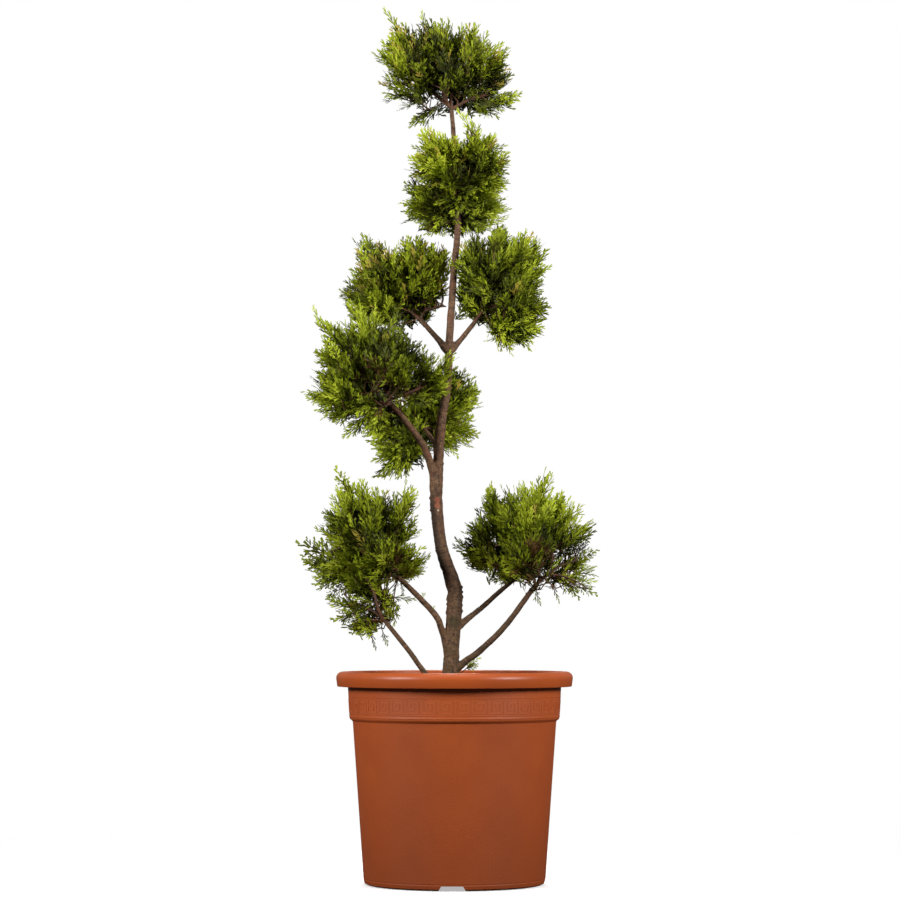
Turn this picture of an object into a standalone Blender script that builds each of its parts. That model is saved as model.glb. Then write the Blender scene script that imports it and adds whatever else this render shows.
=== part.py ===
"""Potted pompon cypress.

A rolled-rim plastic pot filled with compost carries one upright trunk. Eight bare boughs and
the trunk's own tip end in eight rounded, clipped masses of leaf sprays.
Metres, +Z up. The origin is on the ground, on the pot's own axis.
"""

import math
import random

import bmesh
import bpy
from mathutils import Quaternion, Vector
from mathutils.bvhtree import BVHTree

COLLECTION = "potted_leyland_cypress_pompon"
GAP = 0.0003

# Pot: outer radii and heights, top to bottom
POT_HEIGHT = 0.3035
POT_STEPS = 36
RIM_RADIUS = 0.170
RIM_MOUTH_RADIUS = 0.1515
RIM_SKIRT_BOTTOM = 0.2822
BAND_TOP_RADIUS = 0.1528
BAND_BOTTOM = (0.1506, 0.2365)
SHOULDER = (0.1468, 0.2305)
BODY_TOP = (0.1458, 0.2290)
BODY_BOTTOM = (0.1305, 0.012)
UNDERSIDE_RADIUS = 0.1235
WALL = 0.0028
FLOOR_TOP = 0.011

# Drain channels across the edge of the underside
CHANNELS = 4
CHANNEL_TURN = math.radians(-91.6)
CHANNEL_WIDTH_LOW = 0.041
CHANNEL_WIDTH_HIGH = 0.030
CHANNEL_HEIGHT = 0.0073
CHANNEL_START = 0.045
CHANNEL_END = 0.140

SOIL_TOP = 0.280

# Trunk: knots (x, y, z, radius) from its flat foot on the compost to its tip
TRUNK = [
    (-0.0052, 0.0000, 0.2803, 0.0160), (-0.0056, 0.0000, 0.2950, 0.0127),
    (-0.0048, 0.0000, 0.3200, 0.0115), (-0.0032, 0.0000, 0.3484, 0.0110),
    (-0.0012, 0.0010, 0.3772, 0.0112), (0.0005, 0.0010, 0.4080, 0.0112),
    (0.0000, 0.0005, 0.4220, 0.0111), (-0.0036, 0.0000, 0.4348, 0.0107),
    (-0.0111, -0.0005, 0.4564, 0.0097), (-0.0180, -0.0010, 0.4780, 0.0091),
    (-0.0218, -0.0005, 0.5000, 0.0087), (-0.0248, 0.0000, 0.5284, 0.0091),
    (-0.0264, 0.0000, 0.5500, 0.0091), (-0.0258, 0.0000, 0.5788, 0.0092),
    (-0.0246, 0.0000, 0.5960, 0.0086), (-0.0230, 0.0000, 0.6138, 0.0076),
    (-0.0203, 0.0000, 0.6508, 0.0070), (-0.0178, 0.0000, 0.6714, 0.0066),
    (-0.0110, 0.0010, 0.7127, 0.0061), (-0.0065, 0.0000, 0.7960, 0.0055),
    (-0.0007, 0.0000, 0.8830, 0.0049), (0.0051, 0.0000, 0.9680, 0.0044),
    (-0.0043, 0.0000, 1.1200, 0.0032),
]
TRUNK_STEPS = 2
TRUNK_SIDES = 10

# Boughs: the knots of each centre line, then its radius at the trunk and at its tip
BOUGHS = {
    "bough_low_left_lower": (
        [(-0.004, 0.000, 0.290), (-0.026, -0.010, 0.288), (-0.043, -0.016, 0.3025),
         (-0.0648, -0.020, 0.3326), (-0.098, -0.022, 0.374)], 0.0043, 0.0034),
    "bough_low_left_upper": (
        [(-0.0072, 0.000, 0.330), (-0.0192, -0.006, 0.366), (-0.0262, -0.008, 0.3825),
         (-0.050, -0.008, 0.409), (-0.080, -0.008, 0.438)], 0.0054, 0.0036),
    "bough_low_right_lower": (
        [(-0.004, 0.000, 0.302), (0.0168, -0.007, 0.319), (0.0336, -0.013, 0.3312),
         (0.071, -0.018, 0.367), (0.112, -0.018, 0.422)], 0.0052, 0.0038),
    "bough_low_right_upper": (
        [(0.002, 0.002, 0.366), (0.024, 0.014, 0.3832), (0.0408, 0.022, 0.3964),
         (0.0648, 0.030, 0.418), (0.084, 0.035, 0.434)], 0.0046, 0.0032),
    "bough_front_left": (
        [(-0.0268, -0.001, 0.565), (-0.0325, -0.008, 0.595), (-0.0486, -0.0265, 0.6335),
         (-0.081, -0.057, 0.6735)], 0.0062, 0.0042),
    "bough_back": (
        [(-0.023, 0.000, 0.614), (-0.030, 0.016, 0.635), (-0.041, 0.042, 0.6525)],
        0.0048, 0.0036),
    "bough_mid_left": (
        [(-0.0088, 0.000, 0.766), (-0.027, 0.014, 0.7875), (-0.049, 0.032, 0.814)],
        0.0047, 0.0033),
    "bough_mid_right": (
        [(-0.0085, 0.000, 0.764), (0.0113, 0.004, 0.785), (0.0355, 0.011, 0.817)],
        0.0043, 0.0032),
}
BOUGH_STEPS = 3
BOUGH_SIDES = 8

# Masses: the limbs that each grows on from, the lobes (x, y, z, reach) that it fills, and
# its furthest tips
MASSES = {
    "pompon_top": {
        "limbs": ["trunk"],
        "seed": 11,
        "lobes": [(-0.067, -0.018, 1.191, 0.049), (-0.027, 0.018, 1.214, 0.045),
                  (0.034, -0.014, 1.187, 0.052), (-0.069, -0.008, 1.156, 0.039),
                  (-0.037, 0.012, 1.139, 0.039), (0.017, 0.024, 1.147, 0.038),
                  (0.056, -0.002, 1.146, 0.039), (0.001, 0.034, 1.187, 0.049),
                  (-0.011, -0.030, 1.158, 0.043)],
        "tips": [(-0.102, -0.010, 1.264), (-0.049, 0.010, 1.271), (0.004, 0.010, 1.245),
                 (0.023, -0.010, 1.245), (0.097, 0.000, 1.139), (-0.066, 0.000, 1.095),
                 (0.066, 0.010, 1.107), (-0.113, 0.000, 1.205)],
    },
    "pompon_second": {
        "limbs": ["trunk"],
        "seed": 12,
        "lobes": [(-0.025, -0.012, 1.043, 0.049), (0.033, -0.006, 1.041, 0.050),
                  (-0.034, 0.010, 0.981, 0.048), (0.039, 0.010, 0.978, 0.048),
                  (0.004, -0.032, 1.007, 0.044), (0.002, 0.032, 1.013, 0.049)],
        "tips": [(-0.049, 0.000, 1.089), (0.028, 0.000, 1.101), (-0.073, 0.000, 0.979),
                 (0.081, 0.000, 1.044), (-0.044, 0.010, 0.934), (0.049, 0.010, 0.931)],
    },
    "pompon_mid_left": {
        "limbs": ["bough_mid_left"],
        "seed": 13,
        "lobes": [(-0.109, 0.030, 0.896, 0.042), (-0.126, 0.034, 0.849, 0.045),
                  (-0.058, 0.048, 0.899, 0.045), (-0.039, 0.052, 0.869, 0.036),
                  (-0.080, 0.060, 0.849, 0.039), (-0.092, 0.074, 0.877, 0.041)],
        "tips": [(-0.138, 0.040, 0.941), (-0.168, 0.035, 0.858), (-0.050, 0.050, 0.941),
                 (-0.012, 0.050, 0.901), (-0.156, 0.030, 0.819)],
    },
    "pompon_mid_right": {
        "limbs": ["bough_mid_right"],
        "seed": 14,
        "lobes": [(0.066, 0.004, 0.904, 0.049), (0.034, 0.042, 0.891, 0.036),
                  (0.033, 0.036, 0.844, 0.033), (0.101, 0.034, 0.899, 0.039),
                  (0.098, -0.006, 0.848, 0.042), (0.086, 0.014, 0.806, 0.045)],
        "tips": [(0.066, 0.010, 0.956), (0.132, 0.030, 0.934), (0.139, 0.020, 0.889),
                 (0.138, 0.000, 0.825), (0.076, 0.010, 0.759), (0.012, 0.040, 0.815)],
    },
    "pompon_front_left": {
        "limbs": ["bough_front_left"],
        "seed": 15,
        "lobes": [(-0.160, -0.084, 0.700, 0.049), (-0.153, -0.064, 0.759, 0.047),
                  (-0.117, -0.050, 0.783, 0.048), (-0.081, -0.052, 0.763, 0.037),
                  (-0.114, -0.100, 0.702, 0.051), (-0.070, -0.078, 0.715, 0.045),
                  (-0.032, -0.058, 0.731, 0.034), (-0.132, -0.062, 0.673, 0.037),
                  (-0.100, -0.110, 0.735, 0.042)],
        "tips": [(-0.200, -0.070, 0.821), (-0.149, -0.060, 0.836), (-0.214, -0.080, 0.697),
                 (-0.191, -0.075, 0.661), (-0.161, -0.070, 0.637), (-0.114, -0.070, 0.637),
                 (0.002, -0.060, 0.759)],
    },
    "pompon_back": {
        "limbs": ["bough_back"],
        "seed": 16,
        "lobes": [(-0.004, 0.074, 0.713, 0.041), (-0.004, 0.078, 0.659, 0.041),
                  (-0.072, 0.066, 0.635, 0.050), (-0.051, 0.092, 0.692, 0.049),
                  (-0.100, 0.072, 0.660, 0.037), (-0.033, 0.108, 0.673, 0.041)],
        "tips": [(0.038, 0.080, 0.715), (0.030, 0.080, 0.639), (0.002, 0.080, 0.751),
                 (0.007, 0.080, 0.615), (-0.112, 0.070, 0.585), (-0.083, 0.070, 0.582)],
    },
    "pompon_low_left": {
        "limbs": ["bough_low_left_upper", "bough_low_left_lower"],
        "seed": 17,
        "lobes": [(-0.146, -0.022, 0.531, 0.044), (-0.099, 0.010, 0.530, 0.043),
                  (-0.160, 0.012, 0.476, 0.048), (-0.193, -0.008, 0.474, 0.029),
                  (-0.101, -0.040, 0.473, 0.046), (-0.067, 0.004, 0.470, 0.035),
                  (-0.156, -0.016, 0.420, 0.037), (-0.110, -0.004, 0.409, 0.040),
                  (-0.127, -0.022, 0.380, 0.033), (-0.125, 0.034, 0.486, 0.041)],
        "tips": [(-0.170, -0.015, 0.596), (-0.135, -0.010, 0.581), (-0.060, 0.010, 0.574),
                 (-0.231, -0.010, 0.488), (-0.035, 0.000, 0.467), (-0.110, -0.018, 0.335),
                 (-0.177, -0.020, 0.383), (-0.206, -0.010, 0.432)],
    },
    "pompon_low_right": {
        "limbs": ["bough_low_right_lower", "bough_low_right_upper"],
        "seed": 18,
        "lobes": [(0.057, 0.030, 0.521, 0.045), (0.104, -0.018, 0.531, 0.047),
                  (0.141, 0.014, 0.522, 0.042), (0.171, -0.004, 0.482, 0.036),
                  (0.052, 0.042, 0.482, 0.041), (0.102, -0.040, 0.480, 0.044),
                  (0.073, 0.022, 0.453, 0.032), (0.124, -0.028, 0.443, 0.037),
                  (0.169, 0.008, 0.448, 0.038), (0.117, 0.036, 0.486, 0.041)],
        "tips": [(-0.001, 0.040, 0.488), (0.053, 0.030, 0.579), (0.100, -0.010, 0.579),
                 (0.138, 0.000, 0.591), (0.204, 0.000, 0.517), (0.208, 0.000, 0.415),
                 (0.124, -0.025, 0.397), (0.051, 0.030, 0.427)],
    },
}
SPRIG = {
    "root": (0.0062, 0.0066, 0.2990),
    "tips": [(0.033, 0.014, 0.325), (0.041, 0.010, 0.311), (0.024, 0.026, 0.322)],
    "seed": 31,
}

# Leaf sprays
ROUND_THE_TRUNK = "pompon_second"
CORE_REACH = 0.70
CORE_LEAST = 0.012
CORE_KNUCKLES = (0.84, 1.12)
SPRAYS_PER_LOBE = 7
SPRAY_SUNK = 0.003
SPRAY_LEAN = 0.50
HIDDEN = 0.90
ROLLS = 4
STEM = 0.012
STEM_OVERLAP = 0.001
TWIG_SIDES = 6
SPRAY_THICKNESS = 0.05
SPACE_MARGIN = 0.06
LIMB_CLEARANCE = 0.0012
HAND = [
    (0.00, 0.00), (0.48, -0.48), (0.46, -0.20), (0.82, -0.38), (0.62, -0.10),
    (1.00, 0.00), (0.64, 0.11), (0.84, 0.36), (0.45, 0.20), (0.52, 0.47),
]
PALM = 0.40


# Scene, collections and materials

def clear_scene():
    for thing in list(bpy.data.objects):
        bpy.data.objects.remove(thing, do_unlink=True)
    for collection in list(bpy.data.collections):
        bpy.data.collections.remove(collection)


def new_collection(name):
    collection = bpy.data.collections.new(name)
    bpy.context.scene.collection.children.link(collection)
    return collection


def make_material(name, colour, roughness):
    material = bpy.data.materials.new(name)
    material.use_nodes = True
    shader = material.node_tree.nodes["Principled BSDF"]
    shader.inputs["Base Color"].default_value = (*colour, 1.0)
    shader.inputs["Roughness"].default_value = roughness
    material.diffuse_color = (*colour, 1.0)
    return material


def add_object(name, mesh, collection, material=None):
    thing = bpy.data.objects.new(name, mesh)
    if material:
        mesh.materials.clear()
        mesh.materials.append(material)
    collection.objects.link(thing)
    return thing


def new_cutter(name, mesh, cutters):
    thing = add_object(name, mesh, cutters)
    thing.hide_render = True
    thing.display_type = "WIRE"
    return thing


# Shapes

def evaluated_mesh(thing):
    graph = bpy.context.evaluated_depsgraph_get()
    return bpy.data.meshes.new_from_object(thing.evaluated_get(graph))


def apply_modifiers(thing):
    mesh = evaluated_mesh(thing)
    thing.modifiers.clear()
    thing.data = mesh


def bmesh_to_mesh(name, shape):
    mesh = bpy.data.meshes.new(name)
    shape.to_mesh(mesh)
    shape.free()
    return mesh


def turned(name, profile, collection, material):
    """A profile of (radius, height) points turned round the Z axis."""
    shape = bmesh.new()
    corners = [shape.verts.new((radius, 0.0, height)) for radius, height in profile]
    for start, end in zip(corners, corners[1:]):
        shape.edges.new((start, end))
    thing = add_object(name, bmesh_to_mesh(name, shape), collection, material)
    screw = thing.modifiers.new("turn", "SCREW")
    screw.axis = "Z"
    screw.steps = POT_STEPS
    screw.render_steps = POT_STEPS
    screw.use_merge_vertices = True
    screw.merge_threshold = 0.00001
    apply_modifiers(thing)
    return thing


def tube_mesh(name, points, radii, sides, collection):
    """A tapered tube along straight pieces, with welded caps, as a mesh."""
    curve = bpy.data.curves.new(name, "CURVE")
    curve.dimensions = "3D"
    curve.bevel_depth = 1.0
    curve.bevel_resolution = (sides - 4) // 2
    curve.use_fill_caps = True
    spline = curve.splines.new("POLY")
    spline.points.add(len(points) - 1)
    for knot, point, radius in zip(spline.points, points, radii):
        knot.co = (*point, 1.0)
        knot.radius = radius
    guide = add_object(name, curve, collection)
    mesh = evaluated_mesh(guide)
    bpy.data.objects.remove(guide)
    shape = bmesh.new()
    shape.from_mesh(mesh)
    bmesh.ops.remove_doubles(shape, verts=shape.verts, dist=0.000001)
    shape.to_mesh(mesh)
    shape.free()
    return mesh


def cut(thing, cutter, solver="EXACT"):
    boolean = thing.modifiers.new("cut", "BOOLEAN")
    boolean.operation = "DIFFERENCE"
    boolean.solver = solver
    boolean.object = cutter
    apply_modifiers(thing)


def keep_largest_body(mesh):
    """Leaves one closed surface: pockets sealed inside it and loose chips go."""
    shape = bmesh.new()
    shape.from_mesh(mesh)
    left = set(shape.faces)
    bodies = []
    while left:
        body = [left.pop()]
        for face in body:
            for edge in face.edges:
                fresh = [other for other in edge.link_faces if other in left]
                left.difference_update(fresh)
                body.extend(fresh)
        bodies.append(body)
    bodies.sort(key=len)
    spare = [face for body in bodies[:-1] for face in body]
    bmesh.ops.delete(shape, geom=spare, context="FACES")
    shape.to_mesh(mesh)
    shape.free()
    return len(bodies) - 1


# Pot and compost

def pot_profile():
    wall_top = BAND_TOP_RADIUS - WALL
    return [
        (wall_top, RIM_SKIRT_BOTTOM - 0.001), (RIM_MOUTH_RADIUS, POT_HEIGHT - 0.0015),
        (RIM_MOUTH_RADIUS + 0.002, POT_HEIGHT), (0.1630, POT_HEIGHT), (0.1678, 0.3012),
        (RIM_RADIUS, 0.2950), (0.1682, RIM_SKIRT_BOTTOM),
        (0.1655, RIM_SKIRT_BOTTOM), (0.1670, 0.2965), (0.1570, 0.3000),
        (BAND_TOP_RADIUS + 0.0004, RIM_SKIRT_BOTTOM), BAND_BOTTOM, SHOULDER, BODY_TOP,
        BODY_BOTTOM, (0.1293, 0.0055), (0.1265, 0.0012), (UNDERSIDE_RADIUS, 0.0), (0.0, 0.0),
        (0.0, FLOOR_TOP), (0.1235, FLOOR_TOP), (0.1273, 0.0150),
        (BODY_TOP[0] - WALL, 0.2300), (BAND_BOTTOM[0] - WALL, 0.2375),
        (wall_top, RIM_SKIRT_BOTTOM - 0.001),
    ]


def channel_mesh():
    """A bar along +X whose section narrows upwards."""
    shape = bmesh.new()
    bmesh.ops.create_cube(shape, size=1.0)
    middle = (CHANNEL_START + CHANNEL_END) / 2.0
    for vert in shape.verts:
        high = vert.co.z > 0.0
        width = CHANNEL_WIDTH_HIGH if high else CHANNEL_WIDTH_LOW
        vert.co.x = middle + vert.co.x * (CHANNEL_END - CHANNEL_START)
        vert.co.y = vert.co.y * width
        vert.co.z = CHANNEL_HEIGHT if high else -0.002
    return bmesh_to_mesh("channel", shape)


def build_pot(parts, cutters, material):
    pot = turned("pot", pot_profile(), parts, material)
    mesh = channel_mesh()
    for index in range(CHANNELS):
        bar = new_cutter(f"channel_{index}", mesh.copy(), cutters)
        turn = CHANNEL_TURN + index * math.tau / CHANNELS
        bar.rotation_euler = (0.0, 0.0, turn)
        bpy.context.view_layer.update()
        cut(pot, bar)
    pot.data.shade_smooth()
    pot.data.set_sharp_from_angle(angle=math.radians(35.0))
    return pot


def build_soil(parts, material):
    """The compost fills the pot up to just under the rim, clear of the wall all round."""
    side = GAP / math.cos(math.pi / POT_STEPS)
    wall_top = BAND_TOP_RADIUS - WALL
    profile = [
        (0.0, SOIL_TOP), (wall_top - side, SOIL_TOP),
        (BAND_BOTTOM[0] - WALL - side, 0.2375), (BODY_TOP[0] - WALL - side, 0.2300 + GAP),
        (0.1273 - side, 0.0150 + GAP), (0.1235 - side, FLOOR_TOP + GAP),
        (0.0, FLOOR_TOP + GAP),
    ]
    soil = turned("soil", profile, parts, material)
    soil.data.shade_smooth()
    soil.data.set_sharp_from_angle(angle=math.radians(35.0))
    return soil


# Trunk and boughs

def smooth_line(knots, steps):
    """Points on a smooth curve through the knots; every knot value is carried along."""
    ends = [knots[0]] + list(knots) + [knots[-1]]
    line = []
    for index in range(len(knots) - 1):
        before, start, end, after = ends[index:index + 4]
        for step in range(steps):
            t = step / steps
            line.append(tuple(
                0.5 * (2 * b + (c - a) * t + (2 * a - 5 * b + 4 * c - d) * t ** 2
                       + (3 * b - a - 3 * c + d) * t ** 3)
                for a, b, c, d in zip(before, start, end, after)))
    line.append(tuple(knots[-1]))
    return line


def limb_line(name):
    """A limb's points, their radii and its number of sides."""
    if name == "trunk":
        line = smooth_line(TRUNK, TRUNK_STEPS)
        foot = (line[0][0], line[0][1], line[0][2] + 0.004, line[0][3] * 0.95)
        line.insert(1, foot)
        return [knot[:3] for knot in line], [knot[3] for knot in line], TRUNK_SIDES
    knots, root_radius, tip_radius = BOUGHS[name]
    points = smooth_line(knots, BOUGH_STEPS)
    last = len(points) - 1
    radii = [root_radius + (tip_radius - root_radius) * i / last for i in range(last + 1)]
    return points, radii, BOUGH_SIDES


def limb_clearance(name, extra, cutters):
    """The room that a limb needs: its own shape, fatter all round and longer at both ends."""
    points, radii, sides = limb_line(name)
    fat = [radius + extra / math.cos(math.pi / sides) for radius in radii]
    tip, way, _ = limb_tip(name)
    foot = Vector(points[0]) + (Vector(points[0]) - Vector(points[1])).normalized() * 0.005
    line = [foot] + list(points) + [tip + way * extra]
    return tube_mesh(name, line, [fat[0]] + fat + [fat[-1]], sides, cutters)


def build_limbs(parts, cutters, bark):
    """The trunk, and each bough cut off short of the bark that it grows from."""
    clear = {}
    for name in ["trunk"] + list(BOUGHS):
        mesh = limb_clearance(name, GAP, cutters)
        clear[name] = new_cutter(name + "_clear", mesh, cutters)
        points, radii, sides = limb_line(name)
        limb = add_object(name, tube_mesh(name, points, radii, sides, parts), parts, bark)
        if name != "trunk":
            cut(limb, clear["trunk"])
            keep_largest_body(limb.data)
        limb.data.shade_smooth()
        limb.data.set_sharp_from_angle(angle=math.radians(60.0))
    return clear


def limb_guards(cutters):
    """Each limb a little fatter, as a search tree that tells whether a spray touches it."""
    guards = []
    for name in ["trunk"] + list(BOUGHS):
        shape = bmesh.new()
        shape.from_mesh(limb_clearance(name, LIMB_CLEARANCE, cutters))
        guards.append(BVHTree.FromBMesh(shape))
        shape.free()
    return guards


def limb_tip(name):
    """The tip of a limb, the way that it points there, and its radius."""
    points, radii, _ = limb_line(name)
    tip, before = Vector(points[-1]), Vector(points[-2])
    return tip, (tip - before).normalized(), radii[-1]


# Leaf sprays

def spray_points(root, tip, roll, droop):
    """The outline of one hand-shaped spray between two points, then its two palm points."""
    along = tip - root
    length = along.length
    way = along.normalized()
    side = way.cross(Vector((0.0, 0.0, 1.0)))
    if side.length < 0.1:
        side = way.cross(Vector((0.0, 1.0, 0.0)))
    side.normalize()
    side = Quaternion(way, roll) @ side
    up = way.cross(side)
    outline = []
    for reach, across in HAND:
        bend = droop * reach * (1.0 - reach)
        outline.append(root + along * reach + side * (across * length) + up * (bend * length))
    palm = root + along * PALM + up * (droop * PALM * (1.0 - PALM) * length)
    half = SPRAY_THICKNESS * length / 2.0
    return outline, palm + up * half, palm - up * half


def spray_shape(root, tip, roll, droop):
    """A ball of two rings pressed flat: its waist becomes the toothed outline."""
    outline, high, low = spray_points(root, tip, roll, droop)
    shape = bmesh.new()
    bmesh.ops.create_uvsphere(shape, u_segments=len(outline), v_segments=2, radius=1.0)
    for vert in shape.verts:
        if vert.co.z > 0.5:
            vert.co = high
        elif vert.co.z < -0.5:
            vert.co = low
        else:
            turn = math.atan2(vert.co.y, vert.co.x) / math.tau
            vert.co = outline[round(turn * len(outline)) % len(outline)]
    return shape


def lobe_score(point, lobes):
    """How far out a point lies in the nearest lobe: 0 at its centre, 1 at its reach."""
    return min((point - Vector(lobe[:3])).length / lobe[3] for lobe in lobes)


def in_own_space(points, name):
    """True where every point lies nearer to its own mass's lobes than to any other's."""
    own = MASSES[name]["lobes"]
    others = [mass["lobes"] for other, mass in MASSES.items() if other != name]
    for point in points:
        score = lobe_score(point, own)
        if any(lobe_score(point, lobes) < score + SPACE_MARGIN for lobes in others):
            return False
    return True


def ball_ways(count, generator):
    """Evenly spread directions, each turned a little at random."""
    golden = math.pi * (3.0 - math.sqrt(5.0))
    turn = generator.uniform(0.0, math.tau)
    ways = []
    for index in range(count):
        height = 1.0 - 2.0 * (index + 0.5) / count
        flat = math.sqrt(1.0 - height * height)
        angle = turn + golden * index
        way = Vector((flat * math.cos(angle), flat * math.sin(angle), height))
        jitter = Vector([generator.uniform(-0.25, 0.25) for _ in range(3)])
        ways.append((way + jitter).normalized())
    return ways


def core_shape(lobes, generator):
    """The dense middle of a mass: a ball swollen out into each lobe, with a knuckled skin."""
    weight = sum(lobe[3] for lobe in lobes)
    middle = sum((Vector(lobe[:3]) * lobe[3] for lobe in lobes), Vector()) / weight
    shape = bmesh.new()
    bmesh.ops.create_icosphere(shape, subdivisions=3, radius=1.0)
    for vert in shape.verts:
        way = vert.co.normalized()
        reach = CORE_LEAST
        for lobe in lobes:
            reach = max(reach, way_out(Vector(lobe[:3]) - middle, lobe[3] * CORE_REACH, way))
        vert.co = middle + way * (reach * generator.uniform(*CORE_KNUCKLES))
    return shape


def way_out(centre, radius, way):
    """Where a ray from the middle of a mass leaves a ball, or 0 where it misses it."""
    along = centre.dot(way)
    inside = radius * radius - centre.length_squared + along * along
    return along + math.sqrt(inside) if inside > 0.0 and along > -radius else 0.0


def build_mass(name, parts, material, guards, clear):
    """Stems from the limb tips, a core in each lobe, and the sprays that stand out."""
    rule = MASSES[name]
    generator = random.Random(rule["seed"])
    pieces = bpy.data.collections.new(name + "_pieces")
    bpy.context.scene.collection.children.link(pieces)
    shape = core_shape(rule["lobes"], generator)
    core = BVHTree.FromBMesh(shape)
    add_object(name + "_core", bmesh_to_mesh("core", shape), pieces)
    if name != ROUND_THE_TRUNK:
        add_stems(name, rule, pieces)
    sprays = place_sprays(name, rule, core, generator, guards, pieces)
    first = pieces.objects[0]
    whole = add_object(name, first.data.copy(), parts)
    bpy.data.objects.remove(first)
    union = whole.modifiers.new("join", "BOOLEAN")
    union.operation = "UNION"
    union.operand_type = "COLLECTION"
    union.solver = "MANIFOLD"
    union.collection = pieces
    apply_modifiers(whole)
    for piece in list(pieces.objects):
        bpy.data.objects.remove(piece)
    bpy.data.collections.remove(pieces)
    for limb in rule["limbs"]:
        cut(whole, clear[limb], solver="MANIFOLD")
    dropped = keep_largest_body(whole.data)
    whole.data.materials.clear()
    whole.data.materials.append(material)
    count = sum(len(face.vertices) - 2 for face in whole.data.polygons)
    print(f"{name}: {sprays} sprays, {count} triangles, {dropped} loose bodies dropped")
    return count


def place_sprays(name, rule, core, generator, guards, pieces):
    """The furthest tips first, then each lobe's own sprays where there is room for them."""
    lobes = rule["lobes"]
    placed = []
    for tip in rule["tips"]:
        tip = Vector(tip)
        lobe = min(lobes, key=lambda one: lobe_score(tip, [one]))
        root = spray_root(lobe, core, tip)
        add_spray(name, root, tip, 0.1, generator, guards, placed, pieces)
    for index, lobe in enumerate(lobes):
        rest = lobes[:index] + lobes[index + 1:]
        centre, reach = Vector(lobe[:3]), lobe[3]
        for way in ball_ways(SPRAYS_PER_LOBE, generator):
            tip = centre + way * (reach * generator.uniform(0.92, 1.04))
            droop = generator.uniform(-0.35, 0.35)
            if lobe_score(tip, rest) > HIDDEN:
                root = spray_root(lobe, core, tip)
                add_spray(name, root, tip, droop, generator, guards, placed, pieces)
    return len(placed)


def spray_root(lobe, core, tip):
    """The point that lies a spray's sunk length under the core's surface, towards its tip."""
    aim = Vector(lobe[:3]) + Vector((0.0, 0.0, -SPRAY_LEAN * lobe[3]))
    way = (tip - aim).normalized()
    surface = core.ray_cast(tip, -way)[0] or core.find_nearest(tip)[0]
    return surface - way * SPRAY_SUNK


def add_spray(name, root, tip, droop, generator, guards, placed, pieces):
    """One spray, rolled to a clear place, or left out where each roll touches something."""
    for _ in range(ROLLS):
        roll = generator.uniform(0.0, math.pi)
        outline, _, _ = spray_points(root, tip, roll, droop)
        if not in_own_space(outline, name):
            continue
        shape = spray_shape(root, tip, roll, droop)
        tree = BVHTree.FromBMesh(shape)
        if any(other.overlap(tree) for other in guards + placed):
            shape.free()
            continue
        placed.append(tree)
        add_object(f"{name}_spray_{len(placed)}", bmesh_to_mesh("spray", shape), pieces)
        return


def add_stems(name, rule, pieces):
    """A stem starts just clear of each limb's tip, forks, and runs on into the two nearest
    lobes."""
    lines = []
    for limb in rule["limbs"]:
        tip, way, radius = limb_tip(limb)
        start, fork = tip - way * STEM_OVERLAP, tip + way * STEM
        centres = [Vector(lobe[:3]) for lobe in rule["lobes"]]
        centres.sort(key=lambda one: (one - fork).length)
        lines.append(([start, fork, centres[0]], [radius, radius * 0.85, radius * 0.5]))
        lines.append(([fork, centres[1]], [radius * 0.7, radius * 0.45]))
    for index, (points, radii) in enumerate(lines):
        mesh = tube_mesh("twig", points, radii, TWIG_SIDES, pieces)
        add_object(f"{name}_twig_{index}", mesh, pieces)


def build_sprig(parts, material, clear):
    """The little shoot low on the trunk: a short stalk with a spray on each of its tips."""
    root = Vector(SPRIG["root"])
    generator = random.Random(SPRIG["seed"])
    fork = root.lerp(Vector(SPRIG["tips"][0]), 0.4)
    pieces = []
    line = [root - (fork - root), fork]
    pieces.append(tube_mesh("stalk", line, [0.0012, 0.0012], TWIG_SIDES, parts))
    for tip in SPRIG["tips"]:
        start = fork - (Vector(tip) - fork).normalized() * 0.0016
        shape = spray_shape(start, Vector(tip), generator.uniform(0.0, math.pi), 0.1)
        pieces.append(bmesh_to_mesh("spray", shape))
    whole = add_object("basal_sprig", pieces[0], parts)
    for piece in pieces[1:]:
        other = add_object("piece", piece, parts)
        union = whole.modifiers.new("join", "BOOLEAN")
        union.operation = "UNION"
        union.object = other
        apply_modifiers(whole)
        bpy.data.objects.remove(other)
    cut(whole, clear["trunk"])
    keep_largest_body(whole.data)
    whole.data.materials.clear()
    whole.data.materials.append(material)


def main():
    clear_scene()
    parts = new_collection(COLLECTION)
    cutters = new_collection("cutters")
    plastic = make_material("pot_plastic", (0.300, 0.063, 0.018), 0.48)
    compost = make_material("compost", (0.030, 0.018, 0.011), 0.95)
    bark = make_material("bark", (0.155, 0.100, 0.068), 0.85)
    leaf = make_material("leaf", (0.140, 0.220, 0.022), 0.60)
    build_pot(parts, cutters, plastic)
    build_soil(parts, compost)
    clear = build_limbs(parts, cutters, bark)
    guards = limb_guards(cutters)
    total = 0
    for name in MASSES:
        total += build_mass(name, parts, leaf, guards, clear)
    print("leaf triangles:", total)
    build_sprig(parts, leaf, clear)


main()
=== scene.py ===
# %% [markdown]
# # A cloud-pruned cypress in a patio pot
# The real thing is a young conifer with its lower shoots cut away. The bare boughs carry
# rounded tufts of leaf sprays, and a filled plastic pot holds it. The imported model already
# has every part at its place and size, so it comes first, as a fixed frame. Everything below
# is a finer piece that stands where one of its solids stands.

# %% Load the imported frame
import math
import random

import bmesh
import bpy
import numpy as np
from mathutils import Matrix, Quaternion, Vector, noise
from mathutils.kdtree import KDTree


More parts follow.
